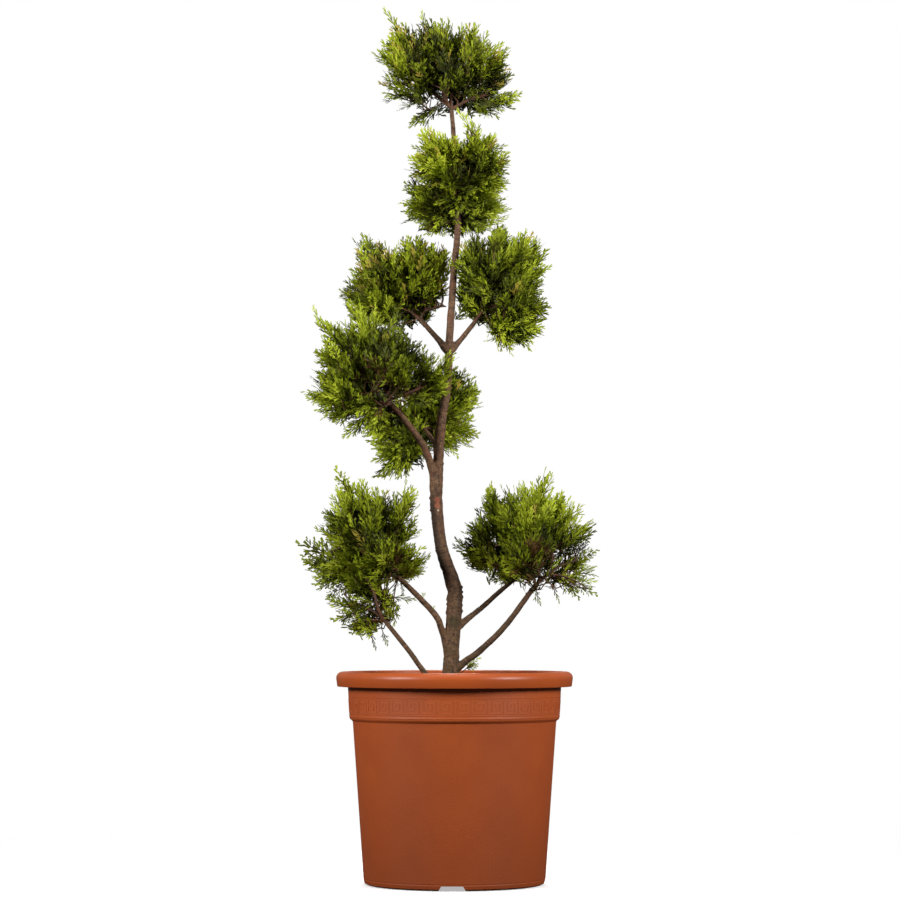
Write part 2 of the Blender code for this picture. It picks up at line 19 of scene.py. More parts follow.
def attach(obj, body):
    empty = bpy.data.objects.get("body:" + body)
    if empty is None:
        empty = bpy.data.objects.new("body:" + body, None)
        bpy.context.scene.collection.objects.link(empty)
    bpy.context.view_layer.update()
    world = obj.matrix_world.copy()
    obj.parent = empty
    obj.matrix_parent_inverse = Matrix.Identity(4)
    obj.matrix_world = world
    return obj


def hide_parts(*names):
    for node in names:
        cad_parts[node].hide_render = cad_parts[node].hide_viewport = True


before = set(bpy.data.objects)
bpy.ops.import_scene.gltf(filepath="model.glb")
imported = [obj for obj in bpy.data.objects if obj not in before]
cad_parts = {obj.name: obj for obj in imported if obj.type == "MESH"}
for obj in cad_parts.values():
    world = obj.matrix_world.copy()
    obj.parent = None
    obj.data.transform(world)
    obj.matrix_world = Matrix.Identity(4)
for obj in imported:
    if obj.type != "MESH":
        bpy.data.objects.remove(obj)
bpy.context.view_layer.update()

# %% [markdown]
# ## Handing a piece over
# Each finished mesh becomes one object at the origin. It wears its materials, moves with the
# only body, and hides the solids that it stands for. One helper does this for every piece, so
# that no piece is forgotten.

# %% Turn a mesh into a piece
def hand_over(name, mesh, materials, stands_for=()):
    piece = bpy.data.objects.new(name, mesh)
    bpy.context.scene.collection.objects.link(piece)
    for material in materials:
        mesh.materials.append(material)
    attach(piece, "root")
    if stands_for:
        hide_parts(*stands_for)
    print(f"{name}: {sum(len(face.vertices) - 2 for face in mesh.polygons)} triangles")


def mesh_from(shape, name):
    """Ends a bmesh: its faces go into a mesh datablock and the bmesh is freed."""
    mesh = bpy.data.meshes.new(name)
    shape.to_mesh(mesh)
    shape.free()
    return mesh


def applied(thing):
    """The mesh of an object with its modifiers applied. The object itself is removed."""
    graph = bpy.context.evaluated_depsgraph_get()
    mesh = bpy.data.meshes.new_from_object(thing.evaluated_get(graph))
    bpy.data.objects.remove(thing)
    return mesh


def loose(name, data):
    """An object for one step of work, such as the target of a modifier."""
    thing = bpy.data.objects.new(name, data)
    bpy.context.scene.collection.objects.link(thing)
    return thing


# %% [markdown]
# ## Writing materials as sums
# A material is a tree of nodes. Adding each Math node by hand hides the thought behind it, so
# a small class wraps a socket and lets plain Python sums add the nodes. Colours go through a
# Mix node, because a Math node would turn them grey. Every other node comes from one method.

# %% A socket that takes part in sums
class Value:
    def __init__(self, recipe, socket):
        self.recipe = recipe
        self.socket = socket

    def __add__(self, other):
        return self.recipe.sum("ADD", self, other)

    def __radd__(self, other):
        return self.recipe.sum("ADD", other, self)

    def __sub__(self, other):
        return self.recipe.sum("SUBTRACT", self, other)

    def __rsub__(self, other):
        return self.recipe.sum("SUBTRACT", other, self)

    def __mul__(self, other):
        return self.recipe.sum("MULTIPLY", self, other)

    def __rmul__(self, other):
        return self.recipe.sum("MULTIPLY", other, self)


# %% A tree of nodes, and a finish that grows in one
class Recipe:
    """Adds nodes to a tree. Sums of Values add their Math nodes by themselves."""

    def __init__(self, tree):
        self.tree = tree

    def put(self, socket, value):
        if isinstance(value, Value):
            self.tree.links.new(value.socket, socket)
        else:
            socket.default_value = value

    def node(self, kind, settings, values, out=0):
        """Any node. Its settings come first, because they decide which sockets it has."""
        node = self.tree.nodes.new("ShaderNode" + kind)
        for setting, choice in settings.items():
            setattr(node, setting, choice)
        for socket, value in values.items():
            self.put(node.inputs[socket], value)
        return Value(self, node.outputs[out])

    def sum(self, operation, first, second):
        return self.node("Math", {"operation": operation}, {0: first, 1: second})

    def mix(self, amount, first, second):
        """From the first colour to the second as amount goes from 0 to 1."""
        values = {0: amount, 6: first, 7: second}
        return self.node("Mix", {"data_type": "RGBA"}, values, out=2)

    def height(self, place):
        return self.node("SeparateXYZ", {}, {0: place}, out=2)

    def stretched(self, place, scale):
        return self.node("Mapping", {}, {"Vector": place, "Scale": scale})

    def cloud(self, place, scale, detail=3.0, roughness=0.55):
        """Soft noise from 0 to 1. Scale counts its lumps in a metre."""
        values = {"Vector": place, "Scale": scale, "Detail": detail, "Roughness": roughness}
        return self.node("TexNoise", {}, values)

    def step(self, value, low, high):
        """0 below low and 1 above high, with a smooth rise between them."""
        settings = {"interpolation_type": "SMOOTHSTEP"}
        values = {"Value": value, "From Min": low, "From Max": high}
        return self.node("MapRange", settings, values)

    def fall(self, value, low, high):
        """1 below low and 0 above high."""
        return 1.0 - self.step(value, low, high)


class Finish(Recipe):
    """A material that grows round its Principled shader."""

    def __init__(self, name, plain):
        self.material = bpy.data.materials.new(name)
        self.material.use_nodes = True
        super().__init__(self.material.node_tree)
        self.shader = self.tree.nodes["Principled BSDF"]
        self.wear(plain)

    def wear(self, values):
        """Numbers, colours or links for the shader's own sockets."""
        for socket, value in values.items():
            self.put(self.shader.inputs[socket], value)

    def place(self):
        """Where a point lies in the object's own space, in metres."""
        return self.node("TexCoord", {}, {}, out=3)

    def relief(self, height, depth):
        """Dents the surface by a height from 0 to 1, depth metres deep."""
        self.wear({"Normal": self.node("Bump", {}, {"Distance": depth, "Height": height})})


def paint(red, green, blue):
    """A colour as a picture shows it, 0 to 255, turned into the linear one that shaders use."""
    levels = [level / 255.0 for level in (red, green, blue)]
    return (*[level / 12.92 if level <= 0.04045 else ((level + 0.055) / 1.055) ** 2.4
              for level in levels], 1.0)


# %% [markdown]
# ## The pot's plastic
# Patio pots like this one are moulded from terracotta-coloured plastic. The wall has a fine
# grain from the mould that scatters light, and the rolled rim is smoother and shines softly.
# Two close browns mixed by wide noise keep the wall from looking painted, and painted shade
# makes the foot a little darker, where the lower wall gets less light. Roughness follows the
# height, so one material serves rim and wall.

# %% Moulded plastic
WALL_COLOUR = paint(172, 79, 33)
WALL_WARM = paint(180, 84, 35)
# The colour of the painted shade at the pot's foot.
PAINTED_FOOT_SHADE = paint(158, 71, 31)
RIM_FOOT = (0.2800, 0.2825)


def moulded_plastic(name, colour, warm):
    finish = Finish(name, {"Specular IOR Level": 0.35})
    place = finish.place()
    on_rim = finish.step(finish.height(place), *RIM_FOOT)
    drift = finish.cloud(place, 16.0)
    grain = finish.cloud(place, 430.0, detail=4.0, roughness=0.65)
    tone = finish.step(drift * 0.8 + grain * 0.2, 0.30, 0.70)
    # Painted shade: the wall's colour darkens towards the foot.
    foot = finish.fall(finish.height(place), 0.0, 0.17)
    finish.wear({
        "Base Color": finish.mix(foot * 0.45, finish.mix(tone, colour, warm), PAINTED_FOOT_SHADE),
        "Roughness": 0.50 + 0.12 * grain - 0.19 * on_rim,
    })
    finish.relief(grain * (1.0 - 0.8 * on_rim), 0.00030)
    return finish.material


plastic = moulded_plastic("moulded_plastic", WALL_COLOUR, WALL_WARM)
print("plastic:", len(plastic.node_tree.nodes), "nodes")

# %% [markdown]
# ## The pot
# The pot is one wall turned on a wheel: a rolled rim that is hollow underneath, a band, a
# step in to the body and a foot. Spinning half of its section round the axis makes it in one
# go. The corners are rounded afterwards with Bevel on whole rings of edges, because a
# moulding has no sharp corner, and the rounded ones catch the light.

# %% Sizes of the pot
POT_HEIGHT = 0.3035
POT_STEPS = 180
SKIRT = 0.2822
BAND_TOP = (0.1532, SKIRT)
BAND_BOTTOM = (0.1506, 0.2365)
SAME_PLACE = 0.00002
RING_HEIGHTS = {0.2682: 0.0007, 0.2437: 0.0007, 0.2400: 0.0013}
RING_RELIEF = 0.00035


def band_radius(height):
    """The band is a shallow cone: its radius at a height."""
    (top, high), (bottom, low) = BAND_TOP, BAND_BOTTOM
    return bottom + (top - bottom) * (height - low) / (high - low)


def pot_section():
    """Radius and height of the wall's corners, from inside the rim, round and back."""
    section = [(0.1500, 0.2812), (0.1515, 0.3018), (0.1532, POT_HEIGHT), (0.1698, POT_HEIGHT),
               (0.1700, 0.2940), (0.1684, SKIRT), (0.1660, SKIRT), (0.1672, 0.2965),
               (0.1570, 0.3000), BAND_TOP]
    for height, half in RING_HEIGHTS.items():
        proud = band_radius(height) + RING_RELIEF
        section += [(band_radius(height + half), height + half),
                    (proud, height + half * 0.5), (proud, height - half * 0.5),
                    (band_radius(height - half), height - half)]
    section += [BAND_BOTTOM, (0.1464, 0.2328), (0.1460, 0.2312), (0.13035, 0.0095),
                (0.12990, 0.0090), (0.12990, 0.0078), (0.13020, 0.0072), (0.12930, 0.0025),
                (0.1250, 0.0), (0.0, 0.0), (0.0, 0.011), (0.1235, 0.011), (0.1273, 0.0150),
                (0.1430, 0.2300), (0.1478, 0.2375), (0.1500, 0.2812)]
    return section


# %% Spin the section and round its rings
def turned(section, steps):
    """A section of (radius, height) corners spun once round the Z axis, seam closed."""
    shape = bmesh.new()
    corners = [shape.verts.new((radius, 0.0, height)) for radius, height in section]
    sides = [shape.edges.new(pair) for pair in zip(corners, corners[1:])]
    bmesh.ops.spin(shape, geom=corners + sides, cent=(0, 0, 0), axis=(0, 0, 1), dvec=(0, 0, 0),
                   angle=math.tau, steps=steps, use_merge=True, use_duplicate=False)
    bmesh.ops.remove_doubles(shape, verts=shape.verts, dist=SAME_PLACE)
    bmesh.ops.recalc_face_normals(shape, faces=shape.faces)
    return shape


def round_ring(shape, radius, height, width, segments):
    """Bevels the ring of edges that runs round the pot at one radius and height."""
    def on_ring(vert):
        off = abs(math.hypot(vert.co.x, vert.co.y) - radius)
        return off < SAME_PLACE and abs(vert.co.z - height) < SAME_PLACE
    ring = [edge for edge in shape.edges if all(on_ring(vert) for vert in edge.verts)]
    bmesh.ops.bevel(shape, geom=ring, offset=width, offset_type="OFFSET", segments=segments,
                    profile=0.5, affect="EDGES", material=-1, clamp_overlap=True)
    return len(ring)


ROUNDED_RINGS = [(0.1698, POT_HEIGHT, 0.0088, 8), (0.1532, POT_HEIGHT, 0.0012, 3),
                 (0.1684, SKIRT, 0.0008, 2), (*BAND_BOTTOM, 0.0012, 3), (0.1250, 0.0, 0.0020, 3)]
shape = turned(pot_section(), POT_STEPS)
for ring in ROUNDED_RINGS:
    print("ring at", ring[:2], "has", round_ring(shape, *ring), "edges")
pot_mesh = mesh_from(shape, "pot_wall")

# %% [markdown]
# ## The drain notches
# Four shallow channels cross the edge of the underside, so that water can leave when the pot
# stands on a flat floor. One of them faces the viewer. They are bars that a Boolean takes out
# of the wall: each bar is a cube whose top is narrower than its foot.

# %% Cut the notches
CHANNEL_TURNS = [math.radians(-91.6) + index * math.tau / 4 for index in range(4)]
CHANNEL_LOW, CHANNEL_HIGH, CHANNEL_HEIGHT = 0.041, 0.030, 0.0073
CHANNEL_MIDDLE, CHANNEL_LENGTH = 0.0925, 0.095


def channel_bar(shape, turn):
    bar = bmesh.ops.create_cube(shape, size=1.0)["verts"]
    for vert in bar:
        high = vert.co.z > 0.0
        vert.co.x = CHANNEL_MIDDLE + vert.co.x * CHANNEL_LENGTH
        vert.co.y *= CHANNEL_HIGH if high else CHANNEL_LOW
        vert.co.z = CHANNEL_HEIGHT if high else -0.002
    bmesh.ops.rotate(shape, verts=bar, cent=(0, 0, 0), matrix=Matrix.Rotation(turn, 3, "Z"))


bars = bmesh.new()
for turn in CHANNEL_TURNS:
    channel_bar(bars, turn)
cutter = loose("channels", mesh_from(bars, "channels"))
wall = loose("wall", pot_mesh)
cut = wall.modifiers.new("notches", "BOOLEAN")
cut.operation, cut.solver, cut.object = "DIFFERENCE", "EXACT", cutter
pot_mesh = applied(wall)
bpy.data.objects.remove(cutter)
pot_mesh.shade_smooth()
pot_mesh.set_sharp_from_angle(angle=math.radians(32.0))
hand_over("pot_wall", pot_mesh, [plastic], ["pot"])

# %% [markdown]
# ## The key pattern on the band
# A meander of square hooks, a common old ornament, stands a third of a millimetre proud of
# the band. One hook is a chain of thin bars laid flat. The bars are then repeated forty times
# and the whole strip is bent round the cone: X becomes the turn, Z stays the height and Y
# becomes the distance out from the wall.

# %% Lay out and bend the keys
KEYS = 40
KEY_RADIUS = 0.152
KEY_LOW, KEY_HIGH = 0.2465, 0.2645
KEY_LINE = 0.0026
KEY_RELIEF = 0.00035
KEY_SUNK = 0.0004
KEY_PATH = [(0.04, 0.96), (0.04, 0.04), (0.80, 0.04), (0.80, 0.84), (0.30, 0.84), (0.30, 0.34),
            (0.55, 0.34), (0.55, 0.60)]


def key_bar(shape, start, end):
    """One straight bar of the pattern between two points (along, up)."""
    bar = bmesh.ops.create_cube(shape, size=1.0)["verts"]
    size = (abs(end[0] - start[0]) + KEY_LINE, KEY_RELIEF + KEY_SUNK,
            abs(end[1] - start[1]) + KEY_LINE)
    bmesh.ops.scale(shape, vec=size, verts=bar)
    long_edges = {edge for vert in bar for edge in vert.link_edges
                  if abs(edge.verts[0].co.x - edge.verts[1].co.x) > 0.004}
    middle = Vector(((start[0] + end[0]) / 2, (KEY_RELIEF - KEY_SUNK) / 2,
                     (start[1] + end[1]) / 2))
    bmesh.ops.translate(shape, vec=middle, verts=bar)
    if long_edges:
        bmesh.ops.subdivide_edges(shape, edges=list(long_edges), cuts=3, use_grid_fill=True)


def key_strip():
    shape = bmesh.new()
    pitch = 1.0 / KEYS
    for index in range(KEYS):
        for start, end in zip(KEY_PATH, KEY_PATH[1:]):
            ends = [((index + u) * pitch * math.tau * KEY_RADIUS,
                     KEY_LOW + v * (KEY_HIGH - KEY_LOW)) for u, v in (start, end)]
            key_bar(shape, *ends)
    return shape


shape = key_strip()
for vert in shape.verts:
    turn = vert.co.x / KEY_RADIUS - math.pi / 2
    radius = band_radius(vert.co.z) + vert.co.y
    vert.co = (radius * math.cos(turn), radius * math.sin(turn), vert.co.z)
bmesh.ops.recalc_face_normals(shape, faces=shape.faces)
rubbed = moulded_plastic("rubbed_plastic", paint(177, 84, 40), paint(184, 89, 43))
hand_over("pot_key_band", mesh_from(shape, "keys"), [rubbed])

# %% [markdown]
# ## The compost
# Potting compost is peat and bark: dark, lumpy, with chips of bark on top. The top is spun in
# narrow rings so that noise can lift each point, and the chips are small cubes knocked out of
# shape. Many small things of one kind are joined into one mesh from arrays, which is quick and
# keeps the number of objects low.

# %% Compost material
def compost_finish():
    finish = Finish("moist_compost", {"Specular IOR Level": 0.25})
    place = finish.place()
    lumps = finish.cloud(place, 170.0, detail=6.0, roughness=0.7)
    crumbs = finish.cloud(place, 900.0, detail=3.0)
    fibres = finish.step(finish.cloud(place, 420.0, detail=1.0), 0.60, 0.72)
    dark = finish.mix(finish.step(lumps, 0.35, 0.70), paint(30, 21, 15), paint(72, 52, 37))
    finish.wear({
        "Base Color": finish.mix(fibres, dark, paint(112, 82, 56)),
        "Roughness": 0.84 + 0.14 * crumbs,
    })
    finish.relief(lumps * 0.6 + crumbs * 0.4, 0.0014)
    return finish.material


def chip_finish():
    finish = Finish("bark_chips", {"Specular IOR Level": 0.3})
    place = finish.place()
    each = finish.cloud(place, 75.0, detail=1.0)
    fibre = finish.cloud(finish.stretched(place, (1.0, 1.0, 6.0)), 500.0)
    brown = finish.mix(finish.step(each, 0.35, 0.65), paint(58, 38, 26), paint(128, 88, 58))
    finish.wear({
        "Base Color": finish.mix(finish.step(fibre, 0.45, 0.75), brown, paint(44, 30, 21)),
        "Roughness": 0.78 + 0.16 * fibre,
    })
    finish.relief(fibre, 0.0005)
    return finish.material


compost, chips = compost_finish(), chip_finish()

# %% Lumpy top and chips
SOIL_TOP = 0.2800
SOIL_RADIUS = 0.1497
SOIL_RINGS, SOIL_STEPS = 58, 150
CHIPS = 620
CHIP_REACH, CHIP_RISE = 0.144, 0.0004


def soil_height(x, y):
    """The compost's surface: wide swells and small crumbs, a little higher at the trunk."""
    swell = noise.noise(Vector((x, y, 0.3)) * 32.0) * 0.0022
    crumb = noise.noise(Vector((x, y, 0.7)) * 190.0) * 0.0011
    mound = 0.0022 * math.exp(-((x + 0.004) ** 2 + y ** 2) / 0.0011)
    return SOIL_TOP - 0.0006 + swell + crumb + mound


def build_compost():
    top = [(SOIL_RADIUS * index / SOIL_RINGS, SOIL_TOP) for index in range(SOIL_RINGS + 1)]
    under = [(0.1474, 0.2375), (0.1426, 0.2304), (0.1268, 0.0154), (0.1231, 0.0114),
             (0.0, 0.0114)]
    shape = turned(top + under, SOIL_STEPS)
    for vert in shape.verts:
        if vert.co.z > SOIL_TOP - 0.001:
            vert.co.z = soil_height(vert.co.x, vert.co.y)
    return mesh_from(shape, "compost")


def build_chips():
    """Each chip is a cube with its corners shaken, turned and laid half into the compost."""
    cube = bmesh.new()
    bmesh.ops.create_cube(cube, size=1.0)
    corners = np.array([vert.co for vert in cube.verts])
    faces = np.array([[vert.index for vert in face.verts] for face in cube.faces])
    cube.free()
    generator = np.random.default_rng(5)
    points, sides = [], []
    for index in range(CHIPS):
        size = generator.uniform((0.003, 0.0015, 0.0008), (0.011, 0.0042, 0.0022))
        chip = (corners + generator.uniform(-0.16, 0.16, (8, 3))) * size
        turn = Quaternion((0, 0, 1), generator.uniform(0, math.tau))
        tilt = Quaternion((1, 0, 0), generator.uniform(-0.5, 0.5))
        radius = CHIP_REACH * math.sqrt(generator.uniform(0.02, 1.0))
        around = generator.uniform(0, math.tau)
        x, y = radius * math.cos(around), radius * math.sin(around)
        middle = np.array((x, y, soil_height(x, y) + CHIP_RISE))
        points.append(chip @ np.array((turn @ tilt).to_matrix()).T + middle)
        sides.append(faces + len(corners) * index)
    mesh = bpy.data.meshes.new("chips")
    mesh.from_pydata(np.concatenate(points).tolist(), [], np.concatenate(sides).tolist())
    return mesh


soil_mesh = build_compost()
soil_mesh.shade_smooth()
hand_over("compost_top", soil_mesh, [compost], ["soil"])
hand_over("compost_chips", build_chips(), [chips])

# %% [markdown]
# ## Limbs from named sizes
# Trunk and boughs follow the same few knots as the solids. A smooth curve through the knots
# carries the radius along with the place, so a limb tapers without further work. The tables
# are in millimetres, which are easier to read, and turned to metres as they are used.

# %% Knots of the trunk and the boughs
def metres(*lengths):
    """Millimetres turned to metres."""
    return tuple(round(length / 1000, 5) for length in lengths)


def rows_in_metres(rows, count):
    """Rows of numbers whose first ones, as many as count, are millimetres."""
    return [metres(*row[:count]) + tuple(row[count:]) for row in rows]


TRUNK = rows_in_metres([(-5.2, 0, 278, 16), (-5.6, 0, 295, 12.7), (-4.8, 0, 320, 11.5),
    (-3.2, 0, 348.4, 11), (-1.2, 1, 377.2, 11.2), (0.5, 1, 408, 11.2), (0, 0.5, 422, 11.1),
    (-3.6, 0, 434.8, 10.7), (-11.1, -0.5, 456.4, 9.7), (-18, -1, 478, 9.1),
    (-21.8, -0.5, 500, 8.7), (-24.8, 0, 528.4, 9.1), (-26.4, 0, 550, 9.1), (-25.8, 0, 578.8, 9.2),
    (-24.6, 0, 596, 8.6), (-23, 0, 613.8, 7.6), (-20.3, 0, 650.8, 7), (-17.8, 0, 671.4, 6.6),
    (-11, 1, 712.7, 6.1), (-6.5, 0, 796, 5.5), (-0.7, 0, 883, 4.9), (5.1, 0, 968, 4.4),
    (-4.3, 0, 1120, 3.2)], 4)
BOUGHS = {
    "bough_low_left_lower": ([(-4, 0, 290), (-26, -10, 288), (-43, -16, 302.5),
        (-64.8, -20, 332.6), (-98, -22, 374)], 4.3, 3.4),
    "bough_low_left_upper": ([(-7.2, 0, 330), (-19.2, -6, 366), (-26.2, -8, 382.5),
        (-50, -8, 409), (-80, -8, 438)], 5.4, 3.6),
    "bough_low_right_lower": ([(-4, 0, 302), (16.8, -7, 319), (33.6, -13, 331.2), (71, -18, 367),
        (112, -18, 422)], 5.2, 3.8),
    "bough_low_right_upper": ([(2, 2, 366), (24, 14, 383.2), (40.8, 22, 396.4), (64.8, 30, 418),
        (84, 35, 434)], 4.6, 3.2),
    "bough_front_left": ([(-26.8, -1, 565), (-32.5, -8, 595), (-48.6, -26.5, 633.5),
        (-81, -57, 673.5)], 6.2, 4.2),
    "bough_back": ([(-23, 0, 614), (-30, 16, 635), (-41, 42, 652.5)], 4.2, 2.8),
    "bough_mid_left": ([(-8.8, 0, 766), (-27, 14, 787.5), (-49, 32, 814)], 4.7, 3.3),
    "bough_mid_right": ([(-8.5, 0, 764), (11.3, 4, 785), (35.5, 11, 817)], 4.3, 3.2),
}
LIMBS = ["trunk"] + list(BOUGHS)
LIMB_STEP = 0.002
COLLAR = 0.45
COLLAR_LENGTH = 0.007
COLLAR_CLEAR = 0.010


def smooth_line(knots, steps):
    """Points on a smooth curve through the knots; every knot value is carried along."""
    ends = [knots[0]] + list(knots) + [knots[-1]]
    line = []
    for index in range(len(knots) - 1):
        before, start, end, after = ends[index:index + 4]
        for step in range(steps):
            t = step / steps
            line.append(tuple(
                0.5 * (2 * b + (c - a) * t + (2 * a - 5 * b + 4 * c - d) * t ** 2
                       + (3 * b - a - 3 * c + d) * t ** 3)
                for a, b, c, d in zip(before, start, end, after)))
    line.append(tuple(knots[-1]))
    return line


def limb_line(name):
    """Points and radii along a limb. A bough swells into a collar where it leaves the trunk."""
    if name == "trunk":
        line = smooth_line(TRUNK, 24)
        return [Vector(knot[:3]) for knot in line], [knot[3] for knot in line]
    knots, *ends = BOUGHS[name]
    root, tip = metres(*ends)
    points = [Vector(point) for point in smooth_line(rows_in_metres(knots, 3), 20)]
    walked = [0.0]
    for start, end in zip(points, points[1:]):
        walked.append(walked[-1] + (end - start).length)
    radii = []
    for way in walked:
        collar = COLLAR * math.exp(-max(0.0, way - COLLAR_CLEAR) / COLLAR_LENGTH)
        radii.append((root + (tip - root) * way / walked[-1]) * (1.0 + collar))
    return points, radii


LINES = {name: limb_line(name) for name in LIMBS}
print("trunk and boughs:", {name: len(line[0]) for name, line in LINES.items()})

# %% [markdown]
# ## One skin over trunk and boughs
# Tubes that only poke into each other would show a hard crease at every fork. Here the tubes
# are joined and skinned anew with a voxel Remesh, which melts the forks together as wood does.
# The stubs of cut shoots go in before it, so the skin closes over them too. A stub is its
# height on the trunk and the way it points, across and in depth.

# %% Tubes, stubs and the skin
STUBS = [(0.550, -1.00, -0.15), (0.532, -1.00, 0.20), (0.474, -1.00, -0.30),
         (0.421, 1.00, -0.25), (0.414, 0.95, 0.30), (0.407, 1.00, 0.10), (0.395, 1.00, -0.20),
         (0.387, 1.00, 0.15), (0.403, -1.00, 0.10), (0.396, -1.00, -0.20), (0.384, -1.00, 0.0),
         (0.364, 1.00, -0.10), (0.650, 0.80, -0.60), (0.735, -0.90, -0.40),
         (0.850, 0.95, -0.25), (0.600, 0.90, -0.40), (0.452, 0.35, -0.93),
         (0.515, 0.50, -0.86), (0.335, -0.70, -0.70), (0.500, 0.20, 0.97),
         (0.820, -0.30, 0.95)]
STUB_PROUD, STUB_END = 0.0020, 0.0016
SKIN_VOXEL = 0.00115
LIMB_ROUNDNESS = 6


def tubes(name, lines, roundness, capped=False):
    """Tapered tubes in one mesh, from one curve with a round bevel. A line is a list of points
    and the radius at each of them."""
    curve = bpy.data.curves.new(name, "CURVE")
    curve.dimensions = "3D"
    curve.bevel_depth = 1.0
    curve.bevel_resolution = roundness
    curve.use_fill_caps = capped
    for points, radii in lines:
        spline = curve.splines.new("POLY")
        spline.points.add(len(points) - 1)
        for knot, point, radius in zip(spline.points, points, radii):
            knot.co = (*point, 1.0)
            knot.radius = radius
    return applied(loose(name, curve))


def trunk_at(height):
    """The trunk's middle and radius at a height."""
    points, radii = LINES["trunk"]
    return min(zip(points, radii), key=lambda pair: abs(pair[0].z - height))


def add_stub(shape, height, across, depth):
    """A short blunt cone that stands out of the trunk where a shoot was cut away."""
    middle, radius = trunk_at(height)
    way = Vector((across, depth, 0.35)).normalized()
    length = radius + STUB_PROUD
    turn = way.to_track_quat("Z", "Y").to_matrix().to_4x4()
    matrix = Matrix.Translation(middle + way * (length / 2)) @ turn
    bmesh.ops.create_cone(shape, cap_ends=True, segments=10, radius1=radius * 0.55,
                          radius2=STUB_END, depth=length, matrix=matrix)


def skin_of_limbs():
    shape = bmesh.new()
    for name in LIMBS:
        shape.from_mesh(tubes("tube", [LINES[name]], LIMB_ROUNDNESS, capped=True))
    for height, across, depth in STUBS:
        add_stub(shape, height, across, depth)
    skin = loose("skin", mesh_from(shape, "skin"))
    remesh = skin.modifiers.new("skin", "REMESH")
    remesh.mode, remesh.voxel_size = "VOXEL", SKIN_VOXEL
    soften = skin.modifiers.new("soften", "SMOOTH")
    soften.factor, soften.iterations = 0.5, 3
    return applied(skin)


skin = skin_of_limbs()
print("skin:", len(skin.vertices), "points")

# %% [markdown]
# ## Bark relief
# Young cypress bark is thin and splits into narrow plates that run along the limb. Its
# pattern has to follow each limb and not the world, so every point stores where it lies on
# its limb: how far along, and out from the middle. The same coordinates lift the skin here and
# colour it in the material. Three sizes of lumps add up, each with its share, and its number
# in a metre across the limb and along it.

# %% Lift the skin along each limb
PLATE_HEIGHT = 0.00070
LIMB_GAP = 1.7
THICK_LIMB = 0.010
BARK_LUMPS = [(0.8, 260.0, 120.0), (1.3, 110.0, 95.0), (0.5, 60.0, 420.0)]


def limb_samples():
    """Places, ways, walked lengths and radii along all the limbs, for looking up."""
    rows = []
    for order, name in enumerate(LIMBS):
        points, radii = LINES[name]
        walked = order * LIMB_GAP
        for start, end, radius in zip(points, points[1:], radii):
            pieces = max(1, round((end - start).length / LIMB_STEP))
            for piece in range(pieces):
                along = (end - start) * (piece / pieces)
                rows.append((start + along, (end - start).normalized(),
                             walked + along.length, radius))
            walked += (end - start).length
    return rows


SAMPLES = limb_samples()


def raise_bark(mesh):
    tree = KDTree(len(SAMPLES))
    for index, (place, _, _, _) in enumerate(SAMPLES):
        tree.insert(place, index)
    tree.balance()
    places = np.zeros((len(mesh.vertices), 3), np.float32)
    for vert in mesh.vertices:
        middle, way, walked, radius = SAMPLES[tree.find(vert.co)[1]]
        out = vert.co - middle
        walked += out.dot(way)
        out -= way * out.dot(way)
        upright = abs(way.z) >= 0.6
        spot = Vector((out.x, out.y, walked) if upright else (out.y, out.z, walked))
        places[vert.index] = spot
        lift = sum(share * noise.noise(Vector((spot.x * across, spot.y * across, spot.z * along)))
                   for share, across, along in BARK_LUMPS)
        vert.co += out.normalized() * (lift * PLATE_HEIGHT * min(1.0, radius / THICK_LIMB))
    stored = mesh.attributes.new("bark_place", "FLOAT_VECTOR", "POINT")
    stored.data.foreach_set("vector", places.ravel())


raise_bark(skin)
print("bark raised with lumps of", PLATE_HEIGHT * 1000, "mm")

# %% [markdown]
# ## Bark colour
# The bark is red-brown, greyer on the plates that are still whole, with dark blotches, and
# faintly green with algae near the compost. Painted shade darkens it round the trunk's bends
# and most on their shaded sides, on the boughs to the right, and high in the crown where leaves
# hang over it. A few marks have a place of their own: a rubbed patch that shows the redder wood
# between a dark and a pale edge, moss in the crotch of the lower boughs and a knot hole below
# it, a dark spot that is partly painted shade, since the hole has no depth. A mark has its
# centre, the radii between which it fades, its share and its colour.

# %% Bark material
BARK_MARKS = [((-0.0245, -0.0090, 0.5500), 0.0026, 0.0058, 0.80, (134, 70, 48)),
              ((-0.0245, -0.0090, 0.5420), 0.0026, 0.0058, 0.85, (142, 82, 56)),
              ((-0.0245, -0.0090, 0.5575), 0.0016, 0.0046, 0.70, (58, 34, 24)),
              ((-0.0235, -0.0095, 0.5350), 0.0008, 0.0022, 0.85, (190, 170, 150)),
              ((-0.0010, -0.0100, 0.3740), 0.0050, 0.0130, 0.70, (46, 42, 18)),
              # The knot hole is a dark spot: partly its own dark wood, partly painted shade, as the
              # hole has no depth.
              ((-0.0010, -0.0113, 0.3570), 0.0016, 0.0030, 0.90, (28, 20, 13))]


